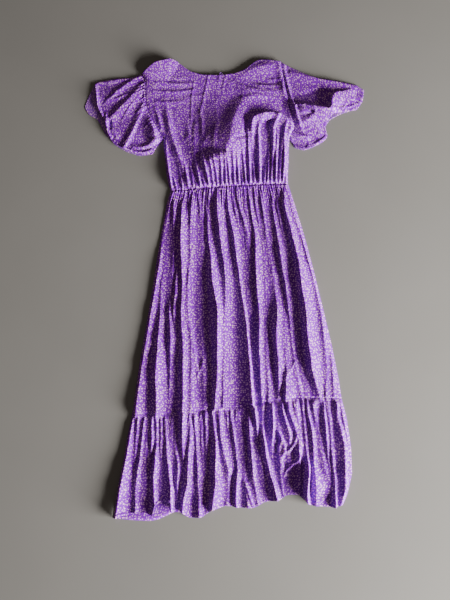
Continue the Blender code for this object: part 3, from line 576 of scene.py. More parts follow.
def noise(x: np.ndarray, y: np.ndarray, seed: int) -> np.ndarray:
    """Smooth noise from -1 to 1, with about one swell for each unit of x and y.

    Args:
        x: places across.
        y: places along.
        seed: picks the noise.

    Returns:
        The noise at each place.
    """
    size = 97
    lattice = np.random.default_rng(seed).uniform(-1, 1, (size, size))
    column, row = np.floor(x).astype(int), np.floor(y).astype(int)
    part_x, part_y = smooth(x - column), smooth(y - row)

    def corner(step_x: int, step_y: int) -> np.ndarray:
        """Reads the lattice, which repeats, at one corner of each cell."""
        return lattice[(row + step_y) % size, (column + step_x) % size]

    low = corner(0, 0) * (1 - part_x) + corner(1, 0) * part_x
    high = corner(0, 1) * (1 - part_x) + corner(1, 1) * part_x
    return low * (1 - part_y) + high * part_y


@dataclass(frozen=True)
class FoldSet:
    """The long folds of one piece, from left to right.

    Attributes:
        stations: places along the piece, from the top down, at which the folds are given.
        folds: the folds.
        lee: share of the shaded strip before the next crest that the lit slope still runs on under.
        shade: rise of a full fold for each unit of the shaded strip on its left.
        steep: least drop of a full fold for each unit of its lit slope.
        edge: width of the strip that the first fold shades on the surface, in millimetres.
        late: 1 if the cloth climbs evenly to a crest, more if it climbs mostly near it.
        minor: a fold less full than this leaves some of its lit slope in the next fold's shade.
    """

    stations: Numbers
    folds: tuple[Fold, ...]
    lee: float = 0.3
    shade: float = 0.14
    steep: float = 0.42
    edge: float = 14
    late: float = 1.9
    minor: float = 0.01

    def track(self, values: Numbers, y: np.ndarray, wobble: float, seed: float) -> np.ndarray:
        """Reads a table's values at each place along the piece, as one eased line.

        Args:
            values: one for each station, or a single one for all.
            y: places along the piece.
            wobble: how far the line wanders sideways.
            seed: makes each line wander in its own way.

        Returns:
            The value at each place.
        """
        steps = np.arange(self.stations[-1] - 60, self.stations[0] + 60, 4.0)
        full = values if len(values) > 1 else values * len(self.stations)
        line = np.interp(steps, self.stations[::-1], full[::-1])
        for _ in range(24):
            line[1:-1] = (line[:-2] + 2 * line[1:-1] + line[2:]) / 4
        line = line + wobble * (np.sin(steps / 19 + 1.7 * seed) + 0.7 * np.sin(steps / 8.3 + 2.9 * seed))
        return np.interp(y, steps, line)

    def height(self, plan: np.ndarray) -> np.ndarray:
        """Height of the folds, in millimetres, at each point of a plan in metres.

        Args:
            plan: rows and columns of x and y.

        Returns:
            The height at each point.
        """
        x, y = plan[..., 0] / MM, plan[..., 1] / MM
        height = np.zeros(x.shape)
        start, base = np.broadcast_to(x[:, :1], x.shape), np.zeros(x.shape)
        shaded = start - self.edge
        crests = [self.track(fold.crest, y, 0.5, place) for place, fold in enumerate(self.folds)]
        for place, fold in enumerate(self.folds):
            following = crests[place + 1] if place + 1 < len(self.folds) else x[:, -1:]
            lit = self.track(fold.lit, y, 0.4, place + 0.4)
            full = np.maximum(self.track(fold.full, y, 0.03, place + 0.7), 0)
            floor = self.track(fold.floor, y, 0, 0)
            crest = np.maximum(crests[place], start + 0.8)
            valley = np.maximum(lit + self.lee * np.maximum(following - lit, 0), crest + 0.8)
            slope = np.maximum(lit - crest, 0)
            rise = np.maximum(base + full * self.shade * (crest - shaded), floor + full * self.steep * slope)
            climb = np.clip((x - start) / (crest - start), 0, 1)
            fall = 1 - np.clip((x - crest) / (valley - crest), 0, 1)
            up = 0.3 * smooth(climb) + 0.7 * climb**self.late
            down = 0.35 * smooth(fall) + 0.65 * fall**1.7
            section = np.where(x <= crest, base + (rise - base) * up, floor + (rise - floor) * down)
            height = np.where((x > start) & (x <= valley), section, height)
            start, base = valley, floor
            shaded = shaded + smooth(full / self.minor) * (lit - shaded)
        return height


def crease_height(plan: np.ndarray, creases: tuple[Crease, ...]) -> np.ndarray:
    """Height of ridges and troughs, in millimetres, at each point of a plan in metres.

    Args:
        plan: rows and columns of x and y.
        creases: the ridges and troughs.

    Returns:
        The height at each point.
    """
    flat = plan.reshape(-1, 2) / MM
    height = np.zeros(len(flat))
    for crease in creases:
        path = np.array(crease.path, float)
        length = np.linalg.norm(np.diff(path, axis=0), axis=1)
        reached = np.concatenate([[0], np.cumsum(length)])
        steps = np.linspace(0, reached[-1], max(8, round(reached[-1] / 4)))
        line = np.stack([np.interp(steps, reached, path[:, axis]) for axis in (0, 1)], axis=-1)
        rise = np.interp(steps, reached, crease.rise)
        for _ in range(6):
            line[1:-1] = (line[:-2] + 2 * line[1:-1] + line[2:]) / 4
            rise[1:-1] = (rise[:-2] + 2 * rise[1:-1] + rise[2:]) / 4
        reach = max(crease.left, crease.right)
        near = np.all((flat > line.min(axis=0) - reach) & (flat < line.max(axis=0) + reach), axis=1)
        spots = np.flatnonzero(near)
        if not len(spots):
            continue
        way = np.gradient(line, axis=0)
        way /= np.linalg.norm(way, axis=1)[:, None]
        offset = flat[spots, None] - line
        nearest = np.argmin((offset**2).sum(axis=-1), axis=1)
        offset = offset[np.arange(len(spots)), nearest]
        way = way[nearest]
        side = way[:, 0] * offset[:, 1] - way[:, 1] * offset[:, 0]
        forward = (way * offset).sum(axis=-1)
        past = np.where((nearest == 0) | (nearest == len(line) - 1), np.abs(forward), 0)
        width = np.where(side > 0, crease.left, crease.right)
        place = steps[nearest] + forward
        spread = np.hypot(side / width, past / min(crease.left, crease.right))
        height[spots] += np.interp(place, steps, rise) * hump(spread)
    return height.reshape(plan.shape[:2])


def mound_height(plan: np.ndarray, mounds: tuple[Mound, ...]) -> np.ndarray:
    """Height of broad rises, in millimetres, at each point of a plan in metres.

    Args:
        plan: rows and columns of x and y.
        mounds: the rises.

    Returns:
        The height at each point.
    """
    x, y = plan[..., 0] / MM, plan[..., 1] / MM
    parts = [
        mound.rise * np.exp(-(((x - mound.x) / mound.wide) ** 2 + ((y - mound.y) / mound.long) ** 2))
        for mound in mounds
    ]
    return sum(parts, np.zeros(x.shape))


def gather_creases(gathers: tuple[Gather, ...], full: float) -> tuple[Crease, ...]:
    """Turns gathers into creases that start just below the waist seam.

    Args:
        gathers: the gathers.
        full: how full they are.

    Returns:
        One crease for each gather.
    """
    made = []
    for gather in gathers:
        seam = float(np.interp(gather.foot, *zip(*WAIST)))
        third = ((2 * gather.foot + gather.tip) / 3 + 0.5, (2 * seam + gather.top) / 3)
        path = ((gather.foot, seam - 8), third, (gather.tip, gather.top))
        rise = full * gather.rise
        made.append(Crease(path, 0.85 * gather.width, gather.width, (rise, rise, 0)))
    return tuple(made)


def puckers(
    run: np.ndarray, away: np.ndarray, pitch: float, rise: float, length: float, seed: int
) -> np.ndarray:
    """Small uneven gathers along a seam that die out away from it.

    Args:
        run: distance along the seam, in millimetres.
        away: distance from the seam.
        pitch: usual distance from one gather to the next.
        rise: usual height.
        length: usual distance in which a gather dies out.
        seed: picks the unevenness.

    Returns:
        The height at each point, in millimetres.
    """
    dice = np.random.default_rng(seed)
    count = int(run.max() / pitch) + 3
    places = np.cumsum(dice.uniform(0.55, 1.45, count) * pitch) - pitch
    turn = np.interp(run, places, np.arange(count))
    which = np.clip(np.round(turn).astype(int), 0, count - 1)
    rises, lengths = dice.uniform(0.35, 1.25, count), dice.uniform(0.35, 1.7, count)
    wave = 0.5 + 0.5 * np.cos(2 * math.pi * turn)
    return rise * wave * rises[which] * np.exp(-away / (length * lengths[which]))


def crinkle(plan: np.ndarray, seed: int, long: float = 1.0) -> np.ndarray:
    """Fine rumples of worn viscose, in millimetres.

    Args:
        plan: points in metres.
        seed: picks the rumples.
        long: how many times longer a rumple is along the piece than across.

    Returns:
        The height at each point.
    """
    x, y = plan[..., 0] / MM, plan[..., 1] / MM / long
    bend = 3 * noise(x / 60, y / 60, seed)
    coarse = 1 - 2.4 * np.abs(noise(x / 34 + bend / 5, y / 30 + bend / 7, seed + 1))
    fine = 1 - 2.4 * np.abs(noise(x / 15 + bend / 4, y / 14, seed + 2))
    patchy = 0.55 + 0.45 * noise(x / 90, y / 90, seed + 3)
    return patchy * (0.75 * coarse + 0.32 * fine) + 0.1 * noise(x / 5, y / 5, seed + 4)


@dataclass
class Surface:
    """A grid of cloth, its rows from the top down.

    Attributes:
        plan: place of each point in the plane, in metres.
        height: height of each point over the cloth's lowest level, in metres.
        marks: distance of each point from the hem or seam that it is kept for, in metres.
    """

    plan: np.ndarray
    height: np.ndarray
    marks: dict[Edge, np.ndarray] = field(default_factory=dict)

    def points(self) -> np.ndarray:
        """All points, as rows and columns of x, y and z."""
        return np.concatenate([self.plan, self.height[..., None]], axis=-1)


def from_edge(plan: np.ndarray, row: int) -> np.ndarray:
    """Distance of each point from the first row of a plan, or from the last one, in metres."""
    return np.linalg.norm(plan - plan[row], axis=-1)


def side_roll(plan: np.ndarray, width: float = 9.0) -> np.ndarray:
    """0 at the left and right edges of a plan, rising to 1 a little way in.

    Args:
        plan: rows and columns of x and y.
        width: width of the roll, in millimetres.

    Returns:
        The share of its full height that the cloth has at each point.
    """
    left = np.linalg.norm(plan - plan[:, :1], axis=-1)
    right = np.linalg.norm(plan - plan[:, -1:], axis=-1)
    return smooth(np.minimum(left, right) / (width * MM) + 0.05)


def run_along(plan: np.ndarray, row: int) -> np.ndarray:
    """Distance along one row of a plan, in millimetres, for each column."""
    steps = np.linalg.norm(np.diff(plan[row], axis=0), axis=-1)
    return np.concatenate([[0], np.cumsum(steps)])[None, :] / MM + np.zeros(plan.shape[:2])


def meets_waist(plan: np.ndarray, height: np.ndarray, row: int) -> np.ndarray:
    """Brings cloth to the waist seam's fine gathers and down into its dip.

    Args:
        plan: rows and columns of x and y.
        height: height at each point, in millimetres.
        row: the row that lies at the waist.

    Returns:
        The new height at each point.
    """
    away, run = from_edge(plan, row) / MM, run_along(plan, row)
    gathers = WAIST_LEVEL + puckers(run, np.zeros(run.shape), 6.2, 3.4, 30, 11)
    near = smooth(away / WAIST_BLEND)
    return near * height + (1 - near) * gathers - WAIST_DIP * (1 - smooth(away / WAIST_DIP_WIDTH))


SKIRT_FORM = FoldSet(SKIRT_STATIONS, SKIRT_FOLDS)
TIER_FORM = FoldSet(TIER_STATIONS, TIER_FOLDS, lee=0.04, shade=0.33, steep=0.38, late=1.15, minor=1.0)


@dataclass(frozen=True)
class Bodice:
    """The bodice's plan and form.

    Attributes:
        columns: cells across.
        upper_rows: cells down each armhole.
        lower_rows: cells down each side below it.
        level: height of the cloth before its folds, in millimetres.
        gathered: how full the gathers from the waist are.
        flat_from: place along from which the sides meet a sleeve and roll down less.
    """

    columns: int = 210
    upper_rows: int = 128
    lower_rows: int = 82
    level: float = 4.0
    gathered: float = 1.25
    flat_from: float = 400.0

    def plan(self, neck: Pairs, shrink: int = 1) -> np.ndarray:
        """Plan of a bodice piece under the given neck, with every division shrunk by a whole number.

        Args:
            neck: its upper edge.
            shrink: whole number that the cells each way are divided by.

        Returns:
            Rows and columns of x and y.
        """
        sides = []
        for armhole, side in ((ARMHOLE_LEFT, BODICE_SIDE_LEFT), (ARMHOLE_RIGHT, BODICE_SIDE_RIGHT)):
            upper = rounded(armhole, self.upper_rows // shrink)
            lower = rounded(side, self.lower_rows // shrink)
            sides.append(np.concatenate([upper, lower[1:]]))
        left, right = shifted(sides[0], HALF_GAP), shifted(sides[1], -HALF_GAP)
        top = rounded(neck, self.columns // shrink)
        top[0], top[-1] = left[0], right[0]
        waist = rounded(WAIST, self.columns // shrink) + (0, HALF_GAP)
        return patch(top, waist, left, right)

    def back(self) -> Surface:
        """The back piece: broad rises, creases from the armholes and gathers up from the waist.

        Returns:
            The surface, without the height of the layer under it.
        """
        plan = self.plan(NECK_AND_SHOULDERS)
        neck, waist = from_edge(plan, 0) / MM, from_edge(plan, -1) / MM
        height = self.level + mound_height(plan, BODICE_MOUNDS) + crease_height(plan, BODICE_CREASES)
        height += crease_height(plan, gather_creases(BODICE_GATHERS, self.gathered))
        height += crinkle(plan, 21) * smooth(neck / 30)
        height += puckers(run_along(plan, -1), waist, 5.4, 1.6, 26, 5)
        height *= smooth(neck / 3.5 + 0.4)
        height = meets_waist(plan, height, -1)
        sleeved = 0.75 * smooth((plan[..., 1] / MM - self.flat_from) / 30)
        height *= side_roll(plan) * (1 - sleeved) + sleeved
        return Surface(plan, height * MM, {Edge.HEM: neck * MM, Edge.SEAM: waist * MM})


@dataclass(frozen=True)
class Skirt:
    """The skirt's plan and form.

    Attributes:
        columns: cells across.
        rows: cells down each side.
        level: height of the cloth before its folds, in millimetres.
        sunk: how much lower the cloth lies at the tier seam.
    """

    columns: int = 288
    rows: int = 160
    level: float = 2.0
    sunk: float = 0.8

    def plan(self, shrink: int = 1) -> np.ndarray:
        """Plan of a skirt piece from the waist to the tier seam.

        Args:
            shrink: whole number that the cells each way are divided by.

        Returns:
            Rows and columns of x and y.
        """
        waist = rounded(WAIST, self.columns // shrink) - (0, HALF_GAP)
        seam = rounded(TIER_SEAM, self.columns // shrink) + (0, HALF_GAP)
        sides = (rounded(side, self.rows // shrink) for side in (SKIRT_SIDE_LEFT, SKIRT_SIDE_RIGHT))
        return patch(waist, seam, *sides)

    def back(self) -> Surface:
        """The back piece: long folds that start as gathers at the waist.

        Returns:
            The surface, without the height of the layer under it.
        """
        plan = self.plan()
        waist, seam = from_edge(plan, 0) / MM, from_edge(plan, -1) / MM
        height = self.level + SKIRT_FORM.height(plan) * (0.35 + 0.65 * smooth(waist / 70))
        height += crease_height(plan, SKIRT_CREASES) + crinkle(plan, 31, 2.5)
        height += puckers(run_along(plan, 0), waist, 6.0, 3.6, 42, 7)
        height += puckers(run_along(plan, -1), seam, 6.0, 0.9, 7, 17)
        height = meets_waist(plan, height, 0)
        height -= self.sunk * (1 - smooth(seam / 4))
        return Surface(plan, height * side_roll(plan) * MM)

    def end_level(self, plan: np.ndarray) -> np.ndarray:
        """Height of the skirt's folds at the tier seam, in millimetres, over the columns of a plan."""
        seam = np.broadcast_to(plan[:1], (2, *plan.shape[1:]))
        return self.level + SKIRT_FORM.height(seam)[:1] - self.sunk


@dataclass(frozen=True)
class Tier:
    """The hem tier's plan and form.

    Attributes:
        columns: cells across the back piece.
        rows: cells down each of its sides.
        level: height of the cloth before its folds, in millimetres.
        least: height that no fold goes below.
    """

    columns: int = 306
    rows: int = 150
    level: float = 2.0
    least: float = 0.6

    def plan(self, hem: Pairs, columns: int, rows: int) -> np.ndarray:
        """Plan of a tier piece from its seam to the given hem.

        Args:
            hem: its lower edge.
            columns: cells across.
            rows: cells down each side.

        Returns:
            Rows and columns of x and y.
        """
        seam = rounded(TIER_SEAM, columns) - (0, HALF_GAP)
        sides = (rounded(side, rows) for side in (TIER_SIDE_LEFT, TIER_SIDE_RIGHT))
        return patch(seam, rounded(hem, columns), *sides)

    def back(self, skirt: Skirt) -> Surface:
        """The back piece: uneven gathers that open into folds at the hem.

        Args:
            skirt: the skirt, whose height it meets at its seam.

        Returns:
            The surface, without the height of the layer under it.
        """
        plan = self.plan(HEM_BACK, self.columns, self.rows)
        seam, hem = from_edge(plan, 0) / MM, from_edge(plan, -1) / MM
        height = self.level + TIER_FORM.height(plan)
        height += crease_height(plan, TIER_CREASES) + crinkle(plan, 41, 2.0)
        height += puckers(run_along(plan, 0), seam, 6.4, 2.4, 26, 13)
        near = smooth(seam / 16)
        height = near * height + (1 - near) * skirt.end_level(plan)
        height = np.maximum(height, self.least) * side_roll(plan)
        return Surface(plan, height * MM, {Edge.HEM: hem * MM, Edge.SEAM: seam * MM})


@dataclass(frozen=True)
class Sleeve:
    """A short full sleeve, one piece of cloth sewn to a tube and pressed flat.

    Attributes:
        armhole: edge that it shares with the bodice.
        top: fold along its top.
        underarm: its underarm edge.
        cuff: edge of its back layer.
        under_cuff: edge of its under layer.
        creases: creases of its back layer.
        outward: 1 if it lies to the right of its armhole, -1 if to the left.
        columns: cells from its top fold to its underarm.
        rows: cells from the armhole to the cuff.
        puff: how high the middle of its back layer stands, in millimetres.
        least: height that no crease goes below.
        roll: width in which its edges roll down.
    """

    armhole: Pairs
    top: Pairs
    underarm: Pairs
    cuff: Pairs
    under_cuff: Pairs
    creases: tuple[Crease, ...]
    outward: int
    columns: int = 118
    rows: int = 124
    puff: float = 5.0
    least: float = 0.4
    roll: float = 4.0

    def layer(self, cuff: Pairs) -> np.ndarray:
        """Plan of one layer, from the armhole to the given cuff.

        Args:
            cuff: its outer edge.

        Returns:
            Rows and columns of x and y.
        """
        seam = shifted(rounded(self.armhole, self.columns), self.outward * HALF_GAP)
        sides = (rounded(side, self.rows) for side in (self.top, self.underarm))
        return patch(seam, rounded(cuff, self.columns), *sides)

    def back(self) -> Surface:
        """The back layer, puffed between its armhole and cuff.

        Returns:
            The surface, without the height of the layer under it.
        """
        plan = self.layer(self.cuff)
        seam, hem = from_edge(plan, 0) / MM, from_edge(plan, -1) / MM
        rows = np.linspace(0, 1, plan.shape[0])[:, None]
        columns = np.linspace(0, 1, plan.shape[1])[None, :]
        height = self.puff * np.sin(math.pi * columns) ** 0.7 * (0.5 + 0.5 * np.sin(math.pi * rows))
        height = height + crease_height(plan, self.creases) + crinkle(plan, 51 + self.outward)
        height += puckers(run_along(plan, 0), seam, 9, 2.2, 26, 19 + self.outward)
        height += puckers(run_along(plan, -1), hem, 11, 1.2, 14, 23 + self.outward)
        height = np.maximum(height, self.least) * side_roll(plan, self.roll)
        return Surface(plan, height * MM, {Edge.HEM: hem * MM})

    def under(self) -> Surface:
        """The under layer, flat on the surface."""
        plan = self.layer(self.under_cuff)
        return Surface(plan, np.zeros(plan.shape[:2]), {Edge.HEM: from_edge(plan, -1)})


SLEEVE_LEFT = Sleeve(
    ARMHOLE_LEFT,
    SLEEVE_LEFT_TOP,
    SLEEVE_LEFT_UNDERARM,
    SLEEVE_LEFT_CUFF,
    SLEEVE_LEFT_UNDER_CUFF,
    SLEEVE_LEFT_CREASES,
    -1,
)
SLEEVE_RIGHT = Sleeve(
    ARMHOLE_RIGHT,
    SLEEVE_RIGHT_TOP,
    SLEEVE_RIGHT_UNDERARM,
    SLEEVE_RIGHT_CUFF,
    SLEEVE_RIGHT_UNDER_CUFF,
    SLEEVE_RIGHT_CREASES,
    1,
)


class Graph:
    """Adds and joins the nodes of one shader tree."""

    def __init__(self, tree: bpy.types.NodeTree) -> None:
        """Starts on an empty tree or on one with nodes."""
        self.tree = tree

    def add(self, kind: str, **settings: object) -> bpy.types.Node:
        """Adds a node and sets its properties.

        Args:
            kind: Blender's name for the node.
            settings: its properties.

        Returns:
            The new node.
        """
        node = self.tree.nodes.new(kind)
        for name, value in settings.items():
            setattr(node, name, value)
        return node

    def put(self, socket: bpy.types.NodeSocket, value: object) -> None:
        """Joins an output to a socket, or sets the socket's own value.

        Args:
            socket: the input.
            value: an output or a plain value. Nothing is done for None.
        """
        if isinstance(value, bpy.types.NodeSocket):
            self.tree.links.new(value, socket)
        elif value is not None:
            socket.default_value = value

    def math(self, operation: str, *values: object, clamp: bool = False) -> bpy.types.NodeSocket:
        """Joins numbers with a math node.

        Args:
            operation: what it does with them.
            values: outputs or plain numbers.
            clamp: whether the result is kept from 0 to 1.

        Returns:
            Its result.
        """
        node = self.add("ShaderNodeMath", operation=operation, use_clamp=clamp)
        for socket, value in zip(node.inputs, values):
            self.put(socket, value)
        return node.outputs[0]

    def vector(
        self, operation: str, first: object, second: object = None, scale: float | None = None
    ) -> bpy.types.NodeSocket:
        """Joins vectors with a vector math node.

        Args:
            operation: what it does with them.
            first: an output or a plain vector.
            second: another, where the operation takes two.
            scale: a number, where it takes one.

        Returns:
            Its result.
        """
        node = self.add("ShaderNodeVectorMath", operation=operation)
        self.put(node.inputs[0], first)
        self.put(node.inputs[1], second)
        self.put(node.inputs[3], scale)
        return node.outputs["Value" if operation in ("LENGTH", "DOT_PRODUCT") else "Vector"]

    def mix(self, factor: object, first: object, second: object, blend: str = "MIX") -> bpy.types.NodeSocket:
        """Mixes two colours.

        Args:
            factor: share of the second.
            first: an output or a plain colour.
            second: another.
            blend: the way in which they are mixed.

        Returns:
            The mixed colour.
        """
        node = self.add("ShaderNodeMix", data_type="RGBA", blend_type=blend)
        self.put(node.inputs["Factor"], factor)
        self.put(node.inputs[6], first)
        self.put(node.inputs[7], second)
        return node.outputs[2]

    def remap(
        self, value: object, low: float, high: float, to_low: float = 0, to_high: float = 1
    ) -> bpy.types.NodeSocket:
        """Maps a value smoothly from one range to another.

        Args:
            value: an output.
            low: start of its range.
            high: end of its range.
            to_low: what its start becomes.
            to_high: what its end becomes.

        Returns:
            The mapped value.
        """
        node = self.add("ShaderNodeMapRange", interpolation_type="SMOOTHSTEP")
        for socket, number in zip(node.inputs[:5], (value, low, high, to_low, to_high)):
            self.put(socket, number)
        return node.outputs[0]

    def grey(self, value: object) -> bpy.types.NodeSocket:
        """Turns a number into a grey colour.

        Args:
            value: an output or a plain number.

        Returns:
            The colour.
        """
        node = self.add("ShaderNodeCombineColor")
        for socket in node.inputs:
            self.put(socket, value)
        return node.outputs[0]

    def noise(self, vector: object, scale: float, detail: float = 2) -> bpy.types.NodeSocket:
        """Adds a noise texture.

        Args:
            vector: the place that it is read at.
            scale: how many of its spots lie in a metre.
            detail: how many finer layers it has.

        Returns:
            Its value, around 0.5.
        """
        node = self.add("ShaderNodeTexNoise")
        self.put(node.inputs["Vector"], vector)
        self.put(node.inputs["Scale"], scale)
        self.put(node.inputs["Detail"], detail)
        return node.outputs["Fac"]

    def bump(
        self, height: object, strength: float, deep: float, normal: object = None
    ) -> bpy.types.NodeSocket:
        """Turns a height into a bumpy normal.

        Args:
            height: an output.
            strength: how strongly it shows.
            deep: its full height, in millimetres.
            normal: the normal under it.

        Returns:
            The new normal.
        """
        node = self.add("ShaderNodeBump")
        values = {"Strength": strength, "Distance": deep * MM, "Height": height, "Normal": normal}
        for name, value in values.items():
            self.put(node.inputs[name], value)
        return node.outputs[0]


def new_group(name: str, inputs: dict[str, str], outputs: dict[str, str]) -> tuple[bpy.types.NodeTree, Graph]:
    """Starts a shader node group.

    Args:
        name: its name.
        inputs: name and kind of each input.
        outputs: name and kind of each output.

    Returns:
        The group, and the means to fill it.
    """
    tree = bpy.data.node_groups.new(name, "ShaderNodeTree")
    for socket, kind in inputs.items():
        tree.interface.new_socket(socket, in_out="INPUT", socket_type=kind)
    for socket, kind in outputs.items():
        tree.interface.new_socket(socket, in_out="OUTPUT", socket_type=kind)
    return tree, Graph(tree)


@dataclass(frozen=True)
class FloralPrint:
    """A ditsy print: small five-petalled flowers and sprigs with leaf dashes between them.

    Attributes:
        cell: usual distance from one flower to the next, in metres.
        flower: radius of a flower, in cells.
        dash_cell: usual distance from one leaf dash to the next, in metres.
        dash: half the length and half the width of a dash, in its cells.
        scatter: how unevenly the motifs are spread.
        sprigs: share of the flowers that are sprigs.
        bare: share of the dash cells that stay empty.
        apart: how far the dashes' layout lies from that of the flowers.
    """

    cell: float = 6.8 * MM
    flower: float = 0.3
    dash_cell: float = 5.2 * MM
    dash: tuple[float, float] = (0.3, 0.12)
    scatter: float = 0.82
    sprigs: float = 0.36
    bare: float = 0.5
    apart: tuple[float, float, float] = (0.0137, 0.0071, 0.0)

    def scattered(
        self, graph: Graph, vector: object, cell: float, turned: float
    ) -> tuple[bpy.types.NodeSocket, ...]:
        """Places one motif in each cell, turned at random.

        Args:
            graph: where the nodes go.
            vector: place on the cloth.
            cell: size of a cell, in metres.
            turned: angle that is added to every motif's own.

        Returns:
            Local x and y in a motif, and two random numbers of its own.
        """
        placed = graph.vector("SCALE", vector, scale=1 / cell)
        spots = graph.add("ShaderNodeTexVoronoi", voronoi_dimensions="2D")
        graph.put(spots.inputs["Vector"], placed)
        spots.inputs["Scale"].default_value = 1
        spots.inputs["Randomness"].default_value = self.scatter
        dice = graph.add("ShaderNodeSeparateColor")
        graph.put(dice.inputs[0], spots.outputs["Color"])
        local = graph.add("ShaderNodeVectorRotate", rotation_type="Z_AXIS")
        graph.put(local.inputs["Vector"], graph.vector("SUBTRACT", placed, spots.outputs["Position"]))
        graph.put(local.inputs["Angle"], graph.math("MULTIPLY_ADD", dice.outputs[0], 2 * math.pi, turned))
        parts = graph.add("ShaderNodeSeparateXYZ")
        graph.put(parts.inputs[0], local.outputs[0])
        return parts.outputs[0], parts.outputs[1], dice.outputs[1], dice.outputs[2]

    def group(self) -> bpy.types.NodeTree:
        """Builds the group: from a place on the cloth to masks of its flowers, hearts and dashes.

        Returns:
            The node group.
        """
        sockets = {name: "NodeSocketFloat" for name in ("Flower", "Heart", "Dash", "Tone")}
        tree, graph = new_group("floral_print", {"Vector": "NodeSocketVector"}, sockets)
        inner = graph.add("NodeGroupInput")
        outer = graph.add("NodeGroupOutput")
        x, y, kind, tone = self.scattered(graph, inner.outputs[0], self.cell, 0.0)
        squared = graph.math("ADD", graph.math("MULTIPLY", x, x), graph.math("MULTIPLY", y, y))
        radius = graph.math("SQRT", squared)
        turn = graph.math("ARCTAN2", y, x)
        lobes = graph.math("COSINE", graph.math("MULTIPLY", turn, 5.0))
        petals = graph.math("MULTIPLY_ADD", lobes, 0.2, 0.8)
        sprig = graph.math("POWER", graph.math("ABSOLUTE", graph.math("COSINE", turn)), 2.2)
        is_flower = graph.math("GREATER_THAN", kind, self.sprigs)
        shape = graph.add("ShaderNodeMix", data_type="FLOAT")
        for place, value in ((0, is_flower), (2, sprig), (3, petals)):
            graph.put(shape.inputs[place], value)
        size = graph.math("MULTIPLY_ADD", tone, 0.4 * self.flower, 0.78 * self.flower)
        reach = graph.math("MULTIPLY", size, graph.math("MAXIMUM", shape.outputs[0], 0.05))
        edge = graph.math("DIVIDE", radius, reach)
        flower = graph.remap(edge, 0.9, 1.12, 1, 0)
        heart = graph.math("MULTIPLY", graph.remap(radius, 0.07, 0.12, 1, 0), is_flower)
        away = graph.vector("ADD", inner.outputs[0], self.apart)
        dash_x, dash_y, dash_kind, _ = self.scattered(graph, away, self.dash_cell, 1.1)
        long, wide = (
            graph.math("POWER", graph.math("ABSOLUTE", graph.math("DIVIDE", across, half)), 2.0)
            for across, half in zip((dash_x, dash_y), self.dash)
        )
        oval = graph.remap(graph.math("ADD", long, wide), 0.8, 1.3, 1, 0)
        dash = graph.math("MULTIPLY", oval, graph.math("GREATER_THAN", dash_kind, self.bare))
        dash = graph.math("MULTIPLY", dash, graph.remap(edge, 1.1, 1.4, 0, 1))
        for socket, value in zip(outer.inputs, (flower, heart, dash, tone)):
            graph.put(socket, value)
        return tree


@dataclass(frozen=True)
class Crepe:
    """Fine crepe weave of the viscose, as a height for bump.

    Attributes:
        thread: distance from one thread to the next but one, in metres.
        regular: how much its even weave shows beside its rough grain.
    """

    thread: float = 0.42 * MM
    regular: float = 0.35

    def group(self) -> bpy.types.NodeTree:
        """Builds the group: from a place on the cloth to the height of its weave.

        Returns:
            The node group.
        """
        tree, graph = new_group("crepe_weave", {"Vector": "NodeSocketVector"}, {"Height": "NodeSocketFloat"})
        inner = graph.add("NodeGroupInput")
        outer = graph.add("NodeGroupOutput")
        rough = graph.noise(inner.outputs[0], 900, 3)
        parts = graph.add("ShaderNodeSeparateXYZ")
        graph.put(parts.inputs[0], inner.outputs[0])
        turns = 2 * math.pi / self.thread
        waves = (graph.math("SINE", graph.math("MULTIPLY", part, turns)) for part in parts.outputs[:2])
        weave = graph.math("MULTIPLY", *waves)
        graph.put(outer.inputs[0], graph.math("MULTIPLY_ADD", weave, self.regular, rough))
        return tree


